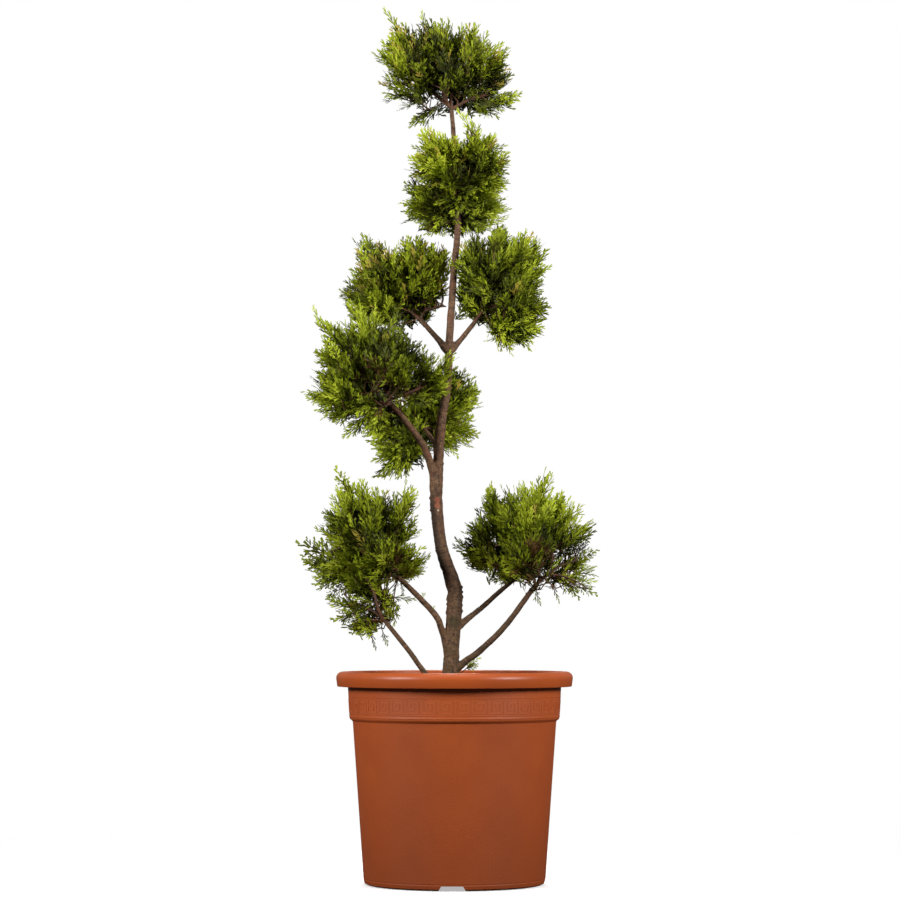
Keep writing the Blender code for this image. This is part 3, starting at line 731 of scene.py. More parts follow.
def bark_finish():
    finish = Finish("cypress_bark", {"Specular IOR Level": 0.3})
    spot = finish.node("Attribute", {"attribute_name": "bark_place"}, {}, out=1)
    place = finish.place()

    def mottle(across, along, scale, detail, roughness=0.55):
        stretched = finish.stretched(spot, (across, across, along))
        return finish.cloud(stretched, scale, detail, roughness)

    plates = mottle(1.0, 0.42, 330.0, 6.0, 0.72)
    patches = mottle(1.0, 0.7, 95.0, 4.0)
    blotches = mottle(1.0, 0.8, 190.0, 4.0)
    rings = mottle(0.5, 1.8, 240.0, 5.0)
    flecks = finish.step(finish.cloud(spot, 700.0), 0.36, 0.50)
    worn = plates * 0.55 + rings * 0.45
    brown = finish.mix(finish.step(worn, 0.36, 0.64), paint(64, 43, 28), paint(122, 91, 65))
    peeled = finish.mix(finish.step(patches, 0.50, 0.66) * 0.55, brown, paint(108, 66, 46))
    blotched = finish.mix(finish.step(blotches, 0.52, 0.66) * 0.70, peeled, paint(50, 36, 25))
    height = finish.height(place)
    side = finish.node("SeparateXYZ", {}, {0: spot})
    # Painted shade: round the bends and most on their shaded sides, on the boughs to the right and
    # on the limbs high under the crown.
    bend = finish.step(height, 0.41, 0.45) * finish.fall(height, 0.54, 0.57)
    knee = finish.step(height, 0.37, 0.39) * finish.fall(height, 0.42, 0.44)
    left = bend * finish.fall(side, -0.006, 0.003)
    right = knee * finish.step(side, 0.000, 0.008)
    shade = finish.step(finish.node("SeparateXYZ", {}, {0: place}), 0.014, 0.040)
    upper = finish.step(height, 0.66, 0.80)
    dim = bend * 0.22 + left * 0.62 + right * 0.50 + shade * 0.32 + upper * 0.20
    painted_shade_bark = finish.mix(dim, blotched, paint(33, 22, 13))
    algae = finish.fall(height, 0.29, 0.47) * finish.step(patches, 0.40, 0.62)
    marked = finish.mix(algae * 0.50, painted_shade_bark, paint(74, 64, 32))
    for centre, inner, outer, share, colour in BARK_MARKS:
        away = finish.node("VectorMath", {"operation": "DISTANCE"}, {0: place, 1: centre}, out=1)
        marked = finish.mix(finish.fall(away, inner, outer) * share, marked, paint(*colour))
    finish.wear({
        "Base Color": finish.mix((1.0 - flecks) * 0.30, marked, paint(50, 37, 28)),
        "Roughness": 0.66 + 0.24 * plates,
    })
    finish.relief(worn * 0.8 + flecks * 0.2, 0.0010)
    return finish.material


bark = bark_finish()
skin.shade_smooth()
hand_over("trunk_and_boughs", skin, [bark], LIMBS)

# %% [markdown]
# ## The leaf masses
# Each tuft fills a few overlapping balls, the lobes, just as its solid does. Sprays reach out
# to the lobes' skin from a point below their middle, because clipped shoots grow up and out.
# A few named tips stand furthest out of the crown, and single shoots stand loose beside it.
# All in millimetres: a lobe is its centre and reach, a shoot its root, tip, spread and tone.

# %% Lobes and furthest tips of each mass
MASSES = {
    "top": {"limbs": ["trunk"], "seed": 11,
        "lobes": [(-67, -18, 1191, 49), (-27, 18, 1214, 45), (30, -14, 1185, 50),
            (-73, -8, 1153, 39), (-37, 12, 1139, 39), (17, 24, 1147, 38), (56, -2, 1146, 39),
            (1, 34, 1187, 49), (-11, -30, 1158, 43)],
        "tips": [(-90, -10, 1243), (-40, 10, 1250), (4, 10, 1230), (21, -10, 1243),
            (36, -10, 1241), (95, 0, 1139), (-66, 0, 1095), (66, 10, 1107), (-113, 0, 1205),
            (-71, 6, 1243), (82, 0, 1204), (-46, 0, 1247), (83, 0, 1172), (-28, 10, 1243),
            (14, 0, 1100), (32, 0, 1102)],
        "shoots": [(-73, -10, 1219, -104.5, -10, 1264.5, 0.55, 3),
            (-42, 10, 1230, -48.5, 10, 1265, 0.55, 1.8), (-5, 10, 1215, -5, 10, 1242, 0.4, 1),
            (72, -4, 1132, 97.5, 0, 1137, 0.68, 3)]},
    "second": {"limbs": ["trunk"], "seed": 12,
        "lobes": [(-22, -12, 1043, 48), (35, -6, 1038, 50), (-34, 10, 981, 48), (36, 10, 980, 46),
            (4, -32, 1007, 44), (2, 32, 1013, 49), (4, 42, 1036, 42), (4, 38, 976, 40),
            (50, -4, 1009, 34)],
        "tips": [(-49, 0, 1089), (28, 0, 1099), (-73, 0, 979), (81, 0, 1044), (-44, 10, 934),
            (49, 10, 931), (60, 0, 1083), (-70, 0, 1010), (20, 12, 932), (79, 0, 1024),
            (77, 0, 1002), (-64, 0, 1022), (-18, 0, 1080)],
        "shoots": [(30, -20, 1076, 3, -20, 1117, 0.45, 4), (36, -22, 1082, 19, -22, 1104, 0.5, 4)]},
    "mid_left": {"limbs": ["bough_mid_left"], "seed": 13,
        "lobes": [(-112, 30, 889, 41), (-126, 34, 849, 45), (-58, 48, 899, 45),
            (-39, 52, 869, 36), (-80, 60, 849, 39), (-92, 74, 877, 41), (-33, 52, 903, 30)],
        "tips": [(-138, 40, 941), (-168, 35, 858), (-50, 50, 941), (-12, 50, 901),
            (-156, 30, 819), (-70, 45, 938), (-28, 50, 930), (-10, 50, 916), (-152, 36, 884),
            (-143, 36, 916)]},
    "mid_right": {"limbs": ["bough_mid_right"], "seed": 14,
        "lobes": [(66, 4, 904, 49), (34, 42, 891, 36), (33, 36, 844, 33), (101, 34, 899, 39),
            (98, -6, 848, 42), (86, 14, 806, 45), (106, 4, 806, 31), (112, 10, 834, 28),
            (20, 14, 864, 25), (27, 36, 922, 24)],
        "tips": [(66, 10, 956), (126, 30, 932), (139, 20, 889), (136, 0, 820), (76, 10, 759),
            (12, 40, 815), (107, 20, 944), (124, 4, 797), (112, 10, 780), (10, 34, 900),
            (14, 34, 928), (32, 30, 936), (-7, -22, 893), (4, 0, 866), (6, 20, 822)]},
    "front_left": {"limbs": ["bough_front_left"], "seed": 15,
        "lobes": [(-160, -84, 700, 49), (-153, -64, 759, 47), (-117, -50, 783, 48),
            (-81, -52, 763, 37), (-114, -100, 702, 51), (-70, -78, 715, 45), (-32, -58, 731, 34),
            (-132, -62, 673, 37), (-100, -110, 735, 42), (-106, -38, 714, 38),
            (-106, -46, 668, 28)],
        "tips": [(-190, -70, 806), (-149, -60, 836), (-214, -80, 697), (-191, -75, 661),
            (-161, -70, 637), (-114, -70, 637), (2, -60, 759), (-203, -80, 733), (-196, -76, 716),
            (-48, -60, 763)],
        "shoots": [(-184, -70, 786, -202, -70, 825, 0.6, 4),
            (-164, -105, 744, -178, -105, 775, 0.7, 4)]},
    "back": {"limbs": ["bough_back"], "seed": 16,
        "lobes": [(-4, 74, 713, 41), (-4, 78, 659, 41), (-72, 66, 635, 50), (-51, 92, 692, 49),
            (-100, 72, 660, 37), (-33, 108, 673, 41)],
        "tips": [(38, 80, 715), (30, 80, 639), (2, 80, 751), (7, 80, 615), (-112, 70, 585),
            (-83, 70, 582), (-118, 70, 612), (28, 80, 664)]},
    "low_left": {"limbs": ["bough_low_left_upper", "bough_low_left_lower"], "seed": 17,
        "lobes": [(-146, -22, 531, 44), (-99, 10, 530, 43), (-160, 12, 476, 48),
            (-193, -8, 474, 29), (-101, -40, 473, 46), (-69, 4, 468, 31), (-156, -16, 420, 37),
            (-110, -4, 409, 40), (-127, -22, 380, 33), (-125, 34, 486, 41)],
        "tips": [(-161, -15, 577), (-135, -10, 581), (-60, 10, 572), (-35, 0, 467),
            (-177, -20, 383), (-202, -10, 438), (-197, -10, 514), (-188, 0, 526), (-90, 0, 424)],
        "shoots": [(-148, -15, 548, -171.5, -15, 599, 0.72, 3),
            (-170, -12, 462, -229, -12, 489, 0.95, 2), (-170, -14, 452, -220, -14, 464, 0.9, 1.8),
            (-162, -14, 444, -205, -14, 428, 0.95, 2),
            (-156, -14, 432, -185, -14, 406, 0.85, 1.5),
            (-122, -22, 386, -178, -22, 378, 0.8, 1.6),
            (-112, -22, 374, -151, -22, 358, 0.8, 1.4), (-72, 4, 498, -53, 4, 529, 0.8, 3),
            (-70, 4, 497, -47, 4, 508, 0.8, 3), (-119, -18, 360, -111.5, -18, 334, 0.68, 0.6),
            (-103, -18, 362, -95, -18, 340, 0.68, 1.6), (-88, -26, 414, -85, -26, 368, 0.65, 1.8),
            (-90, -14, 411, -54, -18, 406, 0.55, 1), (-80, -10, 437, -88, -12, 413, 0.66, 1),
            (-76, -12, 436, -73, -14, 413, 0.5, 0.8), (-166, -12, 440, -198, -12, 420, 0.68, 1.5)]},
    "low_right": {"limbs": ["bough_low_right_lower", "bough_low_right_upper"], "seed": 18,
        "lobes": [(57, 30, 521, 45), (104, -18, 531, 47), (147, 14, 521, 44), (171, -4, 482, 36),
            (52, 42, 482, 41), (102, -40, 480, 44), (73, 22, 453, 32), (124, -28, 450, 34),
            (169, 8, 456, 36), (117, 36, 486, 41)],
        "tips": [(-1, 40, 488), (53, 30, 579), (100, -10, 579), (138, 0, 591), (204, 0, 517),
            (203, 0, 425), (76, 10, 572), (155, 0, 566), (51, 30, 432), (12, 34, 500),
            (66, 6, 550)],
        "shoots": [(112, -24, 424, 124, -24, 398, 0.68, 1),
            (140, -20, 428, 151, -20, 401, 0.66, 1.8), (168, -10, 434, 206, -10, 412, 0.72, 2.4),
            (158, -14, 440, 180, -14, 406, 0.8, 2), (184, 0, 446, 208, 0, 440, 0.6, 2.5),
            (178, 0, 466, 209, 0, 478, 0.8, 2.5), (96, 20, 438, 68, 20, 429, 0.6, 0.8)]},
}
for mass in MASSES.values():
    mass["lobes"] = rows_in_metres(mass["lobes"], 4)
    mass["tips"] = rows_in_metres(mass["tips"], 3)
    mass["shoots"] = rows_in_metres(mass.get("shoots", []), 6)
print(sum(len(mass["lobes"]) for mass in MASSES.values()), "lobes")

# %% [markdown]
# ## Leaf tones
# From a step away the foliage is a few greens: deep inside, fresh at the tips, with a bronze
# cast where the sun has caught the top. The deep greens inside are partly painted shade. The
# tones are plain colours that are dealt out spray by spray, lighter towards each spray's ends.
# A pattern would fall differently on such small faces in every copy of the model.

# %% Tones from deep to young
GREENS = [paint(42, 46, 12), paint(66, 72, 15), paint(94, 102, 19), paint(122, 133, 25),
          paint(146, 159, 32), paint(166, 176, 48)]
BRONZE = paint(150, 134, 52)
DRY = paint(86, 62, 34)
BRONZE_TONE, DRY_TONE = len(GREENS), len(GREENS) + 1


def leaf_finish(name, colour):
    plain = {"Base Color": colour, "Roughness": 0.6, "Specular IOR Level": 0.12}
    return Finish(name, plain).material


leaf_materials = [leaf_finish(f"leaf_green_{index}", colour) for index, colour in
                  enumerate(GREENS)]
leaf_materials += [leaf_finish("leaf_bronze", BRONZE), leaf_finish("leaf_dry", DRY)]

# %% [markdown]
# ## One spray
# A cypress spray is flat and feathered: a stalk with branchlets to both sides, and each of
# them carries a few blunt fingers, clothed in scales. A finger is drawn as a strip that
# narrows to its tip, two triangles, rolled a little so that neighbours catch different light.
# A spray is grown once at unit length and then laid out many times, bent and stretched to fit.
# Small sprays have their own patterns with fewer fingers, so that a finger keeps its width.

# %% Grow spray patterns from a seed
PATTERNS, SMALL_PATTERNS = 16, 6
BRANCHLETS, SMALL_BRANCHLETS = 7, 5
FINGER_WIDTH, SMALL_FINGER_WIDTH = 0.052, 0.080
BLUNT = 0.68
TWIST = 0.42
SUNK = 0.025
FLAT = Vector((0.0, 0.0, 1.0))


def finger(root, way, length, width, generator):
    """The corners of one strip and how far out it ends. Its root is sunk in what bears it."""
    across = Quaternion(way, generator.uniform(-TWIST, TWIST)) @ FLAT.cross(way).normalized()
    across *= width / 2
    root, tip = root - way * SUNK, root + way * length
    return [root + across, root - across, tip - across * BLUNT, tip + across * BLUNT], tip.x


def grow_branchlet(base, side, length, width, generator):
    """A branchlet that bends forward, with long fingers that leave it to both sides."""
    angle = math.radians(generator.uniform(35, 47) - 12.0 * base.x)
    way = Vector((math.cos(angle), side * math.sin(angle), generator.uniform(-0.1, 0.2)))
    way.normalize()
    bent = (way + Vector((0.45, 0, 0))).normalized()
    middle = base + way * (length * 0.5)
    fingers = [finger(base, way, length * 0.55, width, generator),
               finger(middle, bent, length * 0.55, width, generator)]
    for share, turn, least in ((0.38, -1, 0.24), (0.60, 1, 0.34)):
        if length < least:
            continue
        turn = side * turn * math.radians(generator.uniform(22, 34))
        twig_way = Quaternion(FLAT, turn) @ way
        size = length * generator.uniform(0.50, 0.68) * (1.2 - 0.6 * share)
        fingers.append(finger(base + way * (length * share), twig_way, size, width, generator))
    return fingers


def grow_pattern(seed, fullness, branchlets=BRANCHLETS, width=FINGER_WIDTH):
    """Strips (count, 4 corners, 3) of a spray along X, and how far out each one ends."""
    generator = random.Random(seed)
    fingers = []
    lean = generator.uniform(-0.06, 0.06)
    for index in range(branchlets):
        t = 0.05 + 0.80 * index / (branchlets - 1)
        base = Vector((t, lean * math.sin(math.pi * t), 0.0))
        side = 1 if index % 2 else -1
        length = 0.50 * fullness * (1.0 - t) ** 0.6 * min(1.0, 0.6 + 1.8 * t)
        length = max(0.17, length * generator.uniform(0.78, 1.12))
        fingers += grow_branchlet(base, side, length, width, generator)
        if index % 2 == 0:
            size = 0.23 if index < branchlets - 1 else 0.15
            fingers.append(finger(base, Vector((1.0, 0.0, 0.0)), size, width, generator))
    strips = np.array([[tuple(corner) for corner in one] for one, _ in fingers])
    return strips, np.minimum(np.array([share for _, share in fingers]), 1.0)


patterns = [grow_pattern(40 + index, 0.75 + 0.45 * index / PATTERNS)
            for index in range(PATTERNS)]
small_patterns = [grow_pattern(80 + index, 0.95, SMALL_BRANCHLETS, SMALL_FINGER_WIDTH)
                  for index in range(SMALL_PATTERNS)]
print("a spray has", [len(strips) for strips, _ in patterns], "fingers")

# %% [markdown]
# ## Laying a spray out
# A spray starts at its root and ends at its tip. Its own X runs between them, its Y is turned
# to a direction across, and a droop bends it like a fishing rod. Every corner moves at once
# as one array, which keeps thousands of sprays down to seconds.

# %% From a pattern to a place
def lay_out(strips, root, tip, across, droop, spread):
    along = tip - root
    length = along.length
    way = along / length
    up = way.cross(across).normalized()
    across = up.cross(way)
    reach, aside, rise = strips[..., 0:1], strips[..., 1:2], strips[..., 2:3]
    bend = droop * reach * (1.0 - reach)
    return (np.array(root) + reach * np.array(along)
            + aside * (spread * length) * np.array(across)
            + (rise + bend) * length * np.array(up))


ALL_LOBES = {name: np.array(mass["lobes"]) for name, mass in MASSES.items()}


def mass_heights(name):
    lobes = ALL_LOBES[name]
    return float((lobes[:, 2] - lobes[:, 3]).min()), float((lobes[:, 2] + lobes[:, 3]).max())


def lobe_scores(points, lobes):
    """How far out each point lies in its nearest lobe: 0 at the middle, 1 at its reach."""
    gaps = np.linalg.norm(points[:, None, :] - lobes[None, :, :3], axis=2)
    return (gaps / lobes[None, :, 3]).min(axis=1)


LIMB_PLACES = np.array([tuple(place) for place, _, _, _ in SAMPLES])
LIMB_RADII = np.array([radius for _, _, _, radius in SAMPLES])
LEAF_CLEARANCE = 0.0012
SPACE_MARGIN = 0.02


def room_for(points, name, near):
    """True for each point in the mass's own space and clear of the limbs near it."""
    own = lobe_scores(points, ALL_LOBES[name])
    free = np.ones(len(points), bool)
    for other, lobes in ALL_LOBES.items():
        if other != name:
            free &= lobe_scores(points, lobes) > own + SPACE_MARGIN
    gaps = np.linalg.norm(points[:, None, :] - LIMB_PLACES[None, near, :], axis=2)
    free &= (gaps - LIMB_RADII[None, near]).min(axis=1) > LEAF_CLEARANCE
    return free


# %% [markdown]
# ## Filling a mass with plumes
# On the real plant several sprays share one twig and stand together as a plume, with a dark
# gap to the next plume. Directions spread evenly over a ball decide where the plumes of a
# lobe end. Most that would end deep inside another lobe are left out, since nobody would see
# them, and there are fewer underneath and round the forks, where the twigs show.

# %% Directions over a ball, and the forks
PLUMES_PER_AREA = 15500
FULLER = {"second": 1.25, "mid_left": 1.10, "mid_right": 1.08}
PLUME_LENGTHS = (0.046, 0.068)
TIP_LENGTHS = (0.050, 0.075)
HIDDEN = 0.78
LOWERED = 0.22
TO_FORK = 0.42
UPWARD = 0.14
BARE = {"top": 0.036, "low_left": 0.032, "front_left": 0.030}
LEAST_BARE, BARE_SHARE = 0.024, 0.92
LEAFY_BELOW = "front_left"
OPEN_BELOW = {"top": 0.85, "second": 0.45, "mid_left": 0.5, "mid_right": 0.4,
              "front_left": 0.35, "back": 0.4, "low_left": 0.80, "low_right": 0.85}
SHELL_SHARE, HIDDEN_SHARE = 0.76, 0.80


def ball_ways(count, generator):
    """Evenly spread directions, each turned a little at random."""
    golden = math.pi * (3.0 - math.sqrt(5.0))
    turn = generator.uniform(0.0, math.tau)
    ways = []
    for index in range(count):
        height = 1.0 - 2.0 * (index + 0.5) / count
        flat = math.sqrt(1.0 - height * height)
        angle = turn + golden * index
        way = Vector((flat * math.cos(angle), flat * math.sin(angle), height))
        ways.append((way + shaken(0.3, generator)).normalized())
    return ways


def shaken(size, generator):
    return Vector([generator.uniform(-size, size) for _ in range(3)])


UP = Vector((0.0, 0.0, 1.0))
FRONT_FORK = (-96, -66.5, 688.5)


def forks_of(name):
    """Where the twigs of a mass start, the way they leave and how thick they are."""
    if name == "second":
        heights = metres(*range(945, 1066, 20))
        return [(trunk_at(height)[0], UP, 0.002) for height in heights]
    starts = []
    for limb in MASSES[name]["limbs"]:
        points, radii = LINES[limb]
        way = (points[-1] - points[-2]).normalized()
        starts.append((points[-1] - way * 0.002, way, radii[-1]))
    if name == "front_left":
        starts.append((Vector(metres(*FRONT_FORK)), Vector((-0.6, -0.3, 0.7)).normalized(),
                       0.0030))
    return starts


# %% Plumes of a mass
def plume_way(tip, centre, reach, forks):
    """Away from a point between the lobe's heart and the fork that carries it."""
    fork = min(forks, key=lambda place: (place - tip).length)
    aim = centre.lerp(fork, TO_FORK) - Vector((0, 0, LOWERED * reach))
    return (tip - aim).normalized()


def tip_plumes(name, forks, generator):
    """A narrow plume at each named tip, and two shorter ones beside it. A single shoot has
    its spread, below 0, in the place of the looseness, and its tone in that of the openness."""
    plumes = [(Vector(shoot[:3]), Vector(shoot[3:6]), -shoot[6], shoot[7])
              for shoot in MASSES[name]["shoots"]]
    for tip in MASSES[name]["tips"]:
        tip = Vector(tip)
        lobe = min(MASSES[name]["lobes"],
                   key=lambda one: (tip - Vector(one[:3])).length / one[3])
        centre = Vector(lobe[:3])
        way = plume_way(tip, centre, lobe[3], forks)
        length = min(TIP_LENGTHS[1], max(TIP_LENGTHS[0], (tip - centre).length * 1.1))
        plumes.append((tip - way * length, tip, 0.5, 1.0))
        for _ in range(2):
            end = tip - way * length * generator.uniform(0.25, 0.5) + shaken(0.012, generator)
            size = generator.uniform(*PLUME_LENGTHS) * 0.8
            plumes.append((end - (way + shaken(0.2, generator)).normalized() * size, end,
                           0.8, 1.0))
    return plumes


def lobe_plumes(name, index, forks, generator):
    """Root, tip, looseness and openness of the plumes that fill one lobe."""
    lobes = MASSES[name]["lobes"]
    rest = lobes[:index] + lobes[index + 1:]
    centre, reach = Vector(lobes[index][:3]), lobes[index][3]
    low, high = mass_heights(name)
    plumes = []
    count = round(PLUMES_PER_AREA * FULLER.get(name, 1.0) * reach * reach)
    for outward in ball_ways(count, generator):
        shell = generator.random() < SHELL_SHARE
        depth = generator.uniform(0.86, 1.04) if shell else generator.uniform(0.40, 0.84)
        tip = centre + outward * (reach * depth)
        inside = min((tip - Vector(one[:3])).length / one[3] for one in rest)
        under = 1.0 - (tip.z - low) / (high - low)
        if inside < HIDDEN and generator.random() < HIDDEN_SHARE:
            continue
        if generator.random() < OPEN_BELOW[name] * under ** 2:
            continue
        way = plume_way(tip, centre, reach, forks) + shaken(0.22, generator)
        if outward.z > -0.30:
            way += UP * UPWARD
        length = generator.uniform(*PLUME_LENGTHS)
        plumes.append((tip - way.normalized() * length, tip, 1.0, min(1.0, inside) * depth))
    return plumes


# %% [markdown]
# ## Openings and spots
# A clipped crown isn't the same all over. It opens in front of its fork, some tufts catch the
# light and others lie in shade. Round spots say so, as they are seen from the front: across,
# up and radius in millimetres, how much lighter the sprays are there, and for some spots the
# share of sprays left out before the fork. Holes let the sky through from front to back, and
# the last table names the share of dry sprays.

# %% Spots of each crown
SPOTS = {
    "top": [(-4, 1130, 16, -0.6, 0.95), (-23, 1138, 14, -0.6, 0.9), (21, 1131, 14, -0.6, 0.95),
        (43, 1140, 13, -0.4, 0.9), (-22, 1182, 26, -1.5, 0.35), (-46, 1228, 22, -2.4),
        (-60, 1198, 17, -1.8), (-42, 1198, 15, 1.2), (8, 1220, 15, -1.2), (66, 1168, 22, -1.6),
        (20, 1192, 22, 1), (-82, 1200, 14, 1), (-36, 1143, 18, 2.2), (28, 1114, 22, 3),
        (-44, 1118, 18, -1.6), (-50, 1148, 14, 1.4), (-78, 1158, 18, 1.6), (-80, 1192, 16, 1.6),
        (-46, 1184, 16, 1.6), (2, 1178, 18, -1.4), (68, 1194, 18, 1), (78, 1130, 20, 0.6)],
    "second": [(-34, 1046, 26, 2), (-58, 1018, 24, -1.4), (16, 1026, 26, -2.4),
        (50, 976, 24, 1.2), (74, 1018, 18, -2.2), (-34, 944, 24, 0.6), (48, 998, 22, 2.6),
        (-32, 1022, 16, 1.2), (-6, 1046, 20, 1.8), (-10, 952, 18, 1.8), (60, 956, 20, 1.6),
        (-62, 982, 20, 1.4)],
    "mid_left": [(-56, 828, 18, -0.4, 0.8), (-74, 892, 22, 1.2), (-16, 876, 22, 2.8),
        (-38, 832, 32, 2.8), (-108, 900, 24, -1.8), (-136, 896, 18, -1.4), (-98, 826, 20, 1.8),
        (-110, 828, 18, 0.8), (-134, 856, 18, -0.8)],
    "mid_right": [(34, 822, 18, 0.8, 0.8), (36, 908, 34, -1.4), (66, 788, 34, 2.2),
        (88, 898, 20, 1), (102, 924, 20, -1.2), (68, 858, 22, -1.4), (110, 836, 20, -0.4),
        (22, 826, 24, 2.2), (94, 792, 22, 0.6), (14, 904, 18, 2), (50, 838, 22, 1.2)],
    "front_left": [(-98, 696, 18, -0.6, 0.95), (-114, 716, 20, -1, 0.7), (-91, 686, 14, 0, 0.95),
        (-118, 686, 12, 0, 0.7), (-80, 698, 12, 0, 0.8), (-60, 708, 12, 0, 0.8),
        (-114, 764, 26, -2.2), (-58, 750, 20, -2), (-151, 774, 18, -2.4), (-148, 712, 18, -0.6),
        (-150, 756, 14, 2), (-88, 728, 20, 2), (-84, 802, 22, -1.2), (-130, 666, 34, 2.4),
        (-135, 788, 14, 1.4), (-176, 706, 20, 1.8), (-146, 698, 16, 1.2), (-94, 808, 20, -1),
        (-30, 724, 20, 1.6), (-78, 764, 24, -2), (-68, 733, 14, -1.2), (-136, 692, 18, -1.8),
        (-114, 664, 14, -1.2), (-148, 806, 16, -1.6), (-192, 716, 16, -1.4)],
    "back": [(-9, 636, 35, 1.8), (-63, 608, 22, 1.8), (6, 713, 28, -2), (24, 684, 18, 1.6),
        (-30, 724, 20, 1.6), (-86, 600, 14, -1)],
    "low_left": [(-82, 450, 16, -0.3, 0.8), (-80, 492, 16, -0.5, 0.6), (-110, 392, 22, 0.6, 0.7),
        (-92, 432, 18, -1.4), (-180, 514, 26, -2.4), (-104, 534, 22, -1.8), (-92, 500, 18, -1.2),
        (-174, 462, 32, 2.6), (-124, 482, 26, -2.4), (-74, 444, 18, 2.4), (-98, 494, 18, -1.8),
        (-118, 366, 16, 3), (-186, 450, 18, 2), (-68, 536, 18, 1.8), (-106, 470, 18, 1.6),
        (-56, 512, 16, -1.6), (-96, 408, 22, 2.2), (-148, 388, 24, 1.4), (-140, 430, 18, 0.8)],
    "low_right": [(122, 438, 16, -0.3, 0.9), (142, 458, 22, -0.5, 0.5), (30, 494, 26, -2.2),
        (136, 486, 26, -1.6), (160, 434, 34, 2.4), (69, 546, 18, -2.4), (60, 452, 24, 2.4),
        (184, 484, 20, -1.2), (43, 530, 18, -1.8), (64, 488, 14, -1.8), (164, 514, 22, 1.8),
        (90, 520, 20, -1.4), (121, 496, 18, -2), (150, 468, 18, -2.4), (176, 480, 16, -1.8),
        (144, 434, 14, 2), (88, 478, 18, -1), (108, 524, 22, 1.2), (40, 466, 18, 1.4)],
}
HOLES = {
    "top": [(-36, 1128, 12)],
    "mid_right": [(28, 822, 14), (62, 784, 14)],
    "front_left": [(-144, 662, 20), (-132, 668, 14)],
    "back": [(-9, 636, 26), (-50, 604, 14)],
    "low_left": [(-134, 404, 22), (-186, 462, 14)],
    "low_right": [(55, 444, 16), (162, 440, 24)],
}
HOLE_SHARE = 0.6
DRY_SPOTS = {
    "front_left": [(-116, 726, 30, 0.35), (-80, 704, 24, 0.3)],
    "low_left": [(-83, 490, 26, 0.4), (-116, 402, 34, 0.45), (-120, 484, 14, 0.4)],
    "low_right": [(140, 464, 40, 0.55), (104, 452, 26, 0.4)],
}
for table in (SPOTS, HOLES, DRY_SPOTS):
    for name in table:
        table[name] = rows_in_metres(table[name], 3)
EYE = (-0.0065, -4.5, 0.37)


def as_seen(places):
    """Where places lie in the upright plane through the pot's axis, seen from the front."""
    nearer = EYE[1] / (EYE[1] - places[:, 1])
    return EYE[0] + (places[:, 0] - EYE[0]) * nearer, EYE[2] + (places[:, 2] - EYE[2]) * nearer


def within(across, up, x, z, radius):
    """1 for each place well inside a round spot, falling to 0 at its edge."""
    return np.clip(2.5 * (1.0 - np.hypot(across - x, up - z) / radius), 0.0, 1.0)


def at_spots(name, places, front):
    """How likely a spray is left out, judged by its fingers, and how much lighter it is."""
    left_out, lighter = 0.0, 0.0
    across, up = as_seen(places)
    for x, z, radius, lift, *shares in SPOTS[name]:
        depth = within(across, up, x, z, radius)
        lighter += lift * float(depth.mean())
        for share in shares:
            before = float((depth * (places[:, 1] < front)).mean())
            left_out = max(left_out, share * min(1.0, 3.0 * before))
    for hole in HOLES.get(name, []):
        over = float(within(across, up, *hole).mean())
        left_out = max(left_out, HOLE_SHARE * min(1.0, 3.0 * over))
    return left_out, lighter


def dry_share(name, place):
    """How likely a spray is dry at a place of a crown."""
    inside = [share for x, z, radius, share in DRY_SPOTS.get(name, [])
              if math.hypot(place.x - x, place.z - z) < radius]
    return max(inside, default=0.0)


# %% Sprays of a plume
TO_VIEWER = Vector((0.0, -1.0, 0.0))
SIDE_SPRAYS = (6, 7, 7, 8)
END_SHARE, SIDE_SHARE = (0.62, 0.82), (0.50, 0.72)
SIDE_LEAN = (18, 40)
GOLDEN_TURN = 2.4
WIDE_SHOOT = 0.70
SIDE_ANGLE = math.radians(34.0)
SIDE_PLACES = (0.0, 0.06, 0.22, 0.30, 0.44, 0.52)


def across_facing(way, outward, generator):
    """The direction across a spray that turns its flat face outwards, give or take."""
    across = outward.cross(way)
    if across.length < 0.2:
        across = way.orthogonal()
    return Quaternion(way, generator.gauss(0.0, 0.5)) @ across.normalized()


def feather(root, tip, spread):
    """The sprays of a single shoot, flat to the viewer. A wide one is made of seven: one at
    its end and three to each side of its stalk."""
    along = tip - root
    across = TO_VIEWER.cross(along).normalized()
    if spread < WIDE_SHOOT:
        return [(root, tip, across, 0.1, spread)]
    rows = [(root.lerp(tip, 0.40), tip, across, 0.1, 0.9)]
    for share, side in zip(SIDE_PLACES, (1, -1, 1, -1, 1, -1)):
        way = Quaternion(TO_VIEWER, side * SIDE_ANGLE) @ along
        start = root.lerp(tip, share)
        end = start + way * (0.62 * spread * (1.0 - 0.7 * share))
        rows.append((start, end, across, 0.1, 0.8))
    return rows


def sprays_of(plume, outward, generator):
    """Root, tip, across, droop and spread of a plume's sprays: one at its end and more
    round its stalk, which lean away from it with their flat sides to it."""
    root, tip, looseness, _ = plume
    along = tip - root
    length, way = along.length, along.normalized()
    if looseness < 0.0:
        return feather(root, tip, -looseness)
    end = tip - along * generator.uniform(*END_SHARE)
    rows = [(end, tip, across_facing(way, outward, generator), generator.uniform(-0.2, 0.2), 1.0)]
    turn = generator.uniform(0.0, math.tau)
    for _ in range(generator.choice(SIDE_SPRAYS)):
        turn += GOLDEN_TURN
        lean = math.radians(generator.uniform(*SIDE_LEAN)) * looseness
        out = Quaternion(way, turn) @ way.orthogonal().normalized()
        side_way = way * math.cos(lean) + out * math.sin(lean)
        start = root + along * generator.uniform(0.0, 0.42)
        across = Quaternion(side_way, generator.gauss(0.0, 0.4)) @ way.cross(side_way).normalized()
        size = length * generator.uniform(*SIDE_SHARE)
        rows.append((start, start + side_way * size, across, generator.uniform(-0.35, 0.10),
                     generator.uniform(0.80, 1.15)))
    return rows
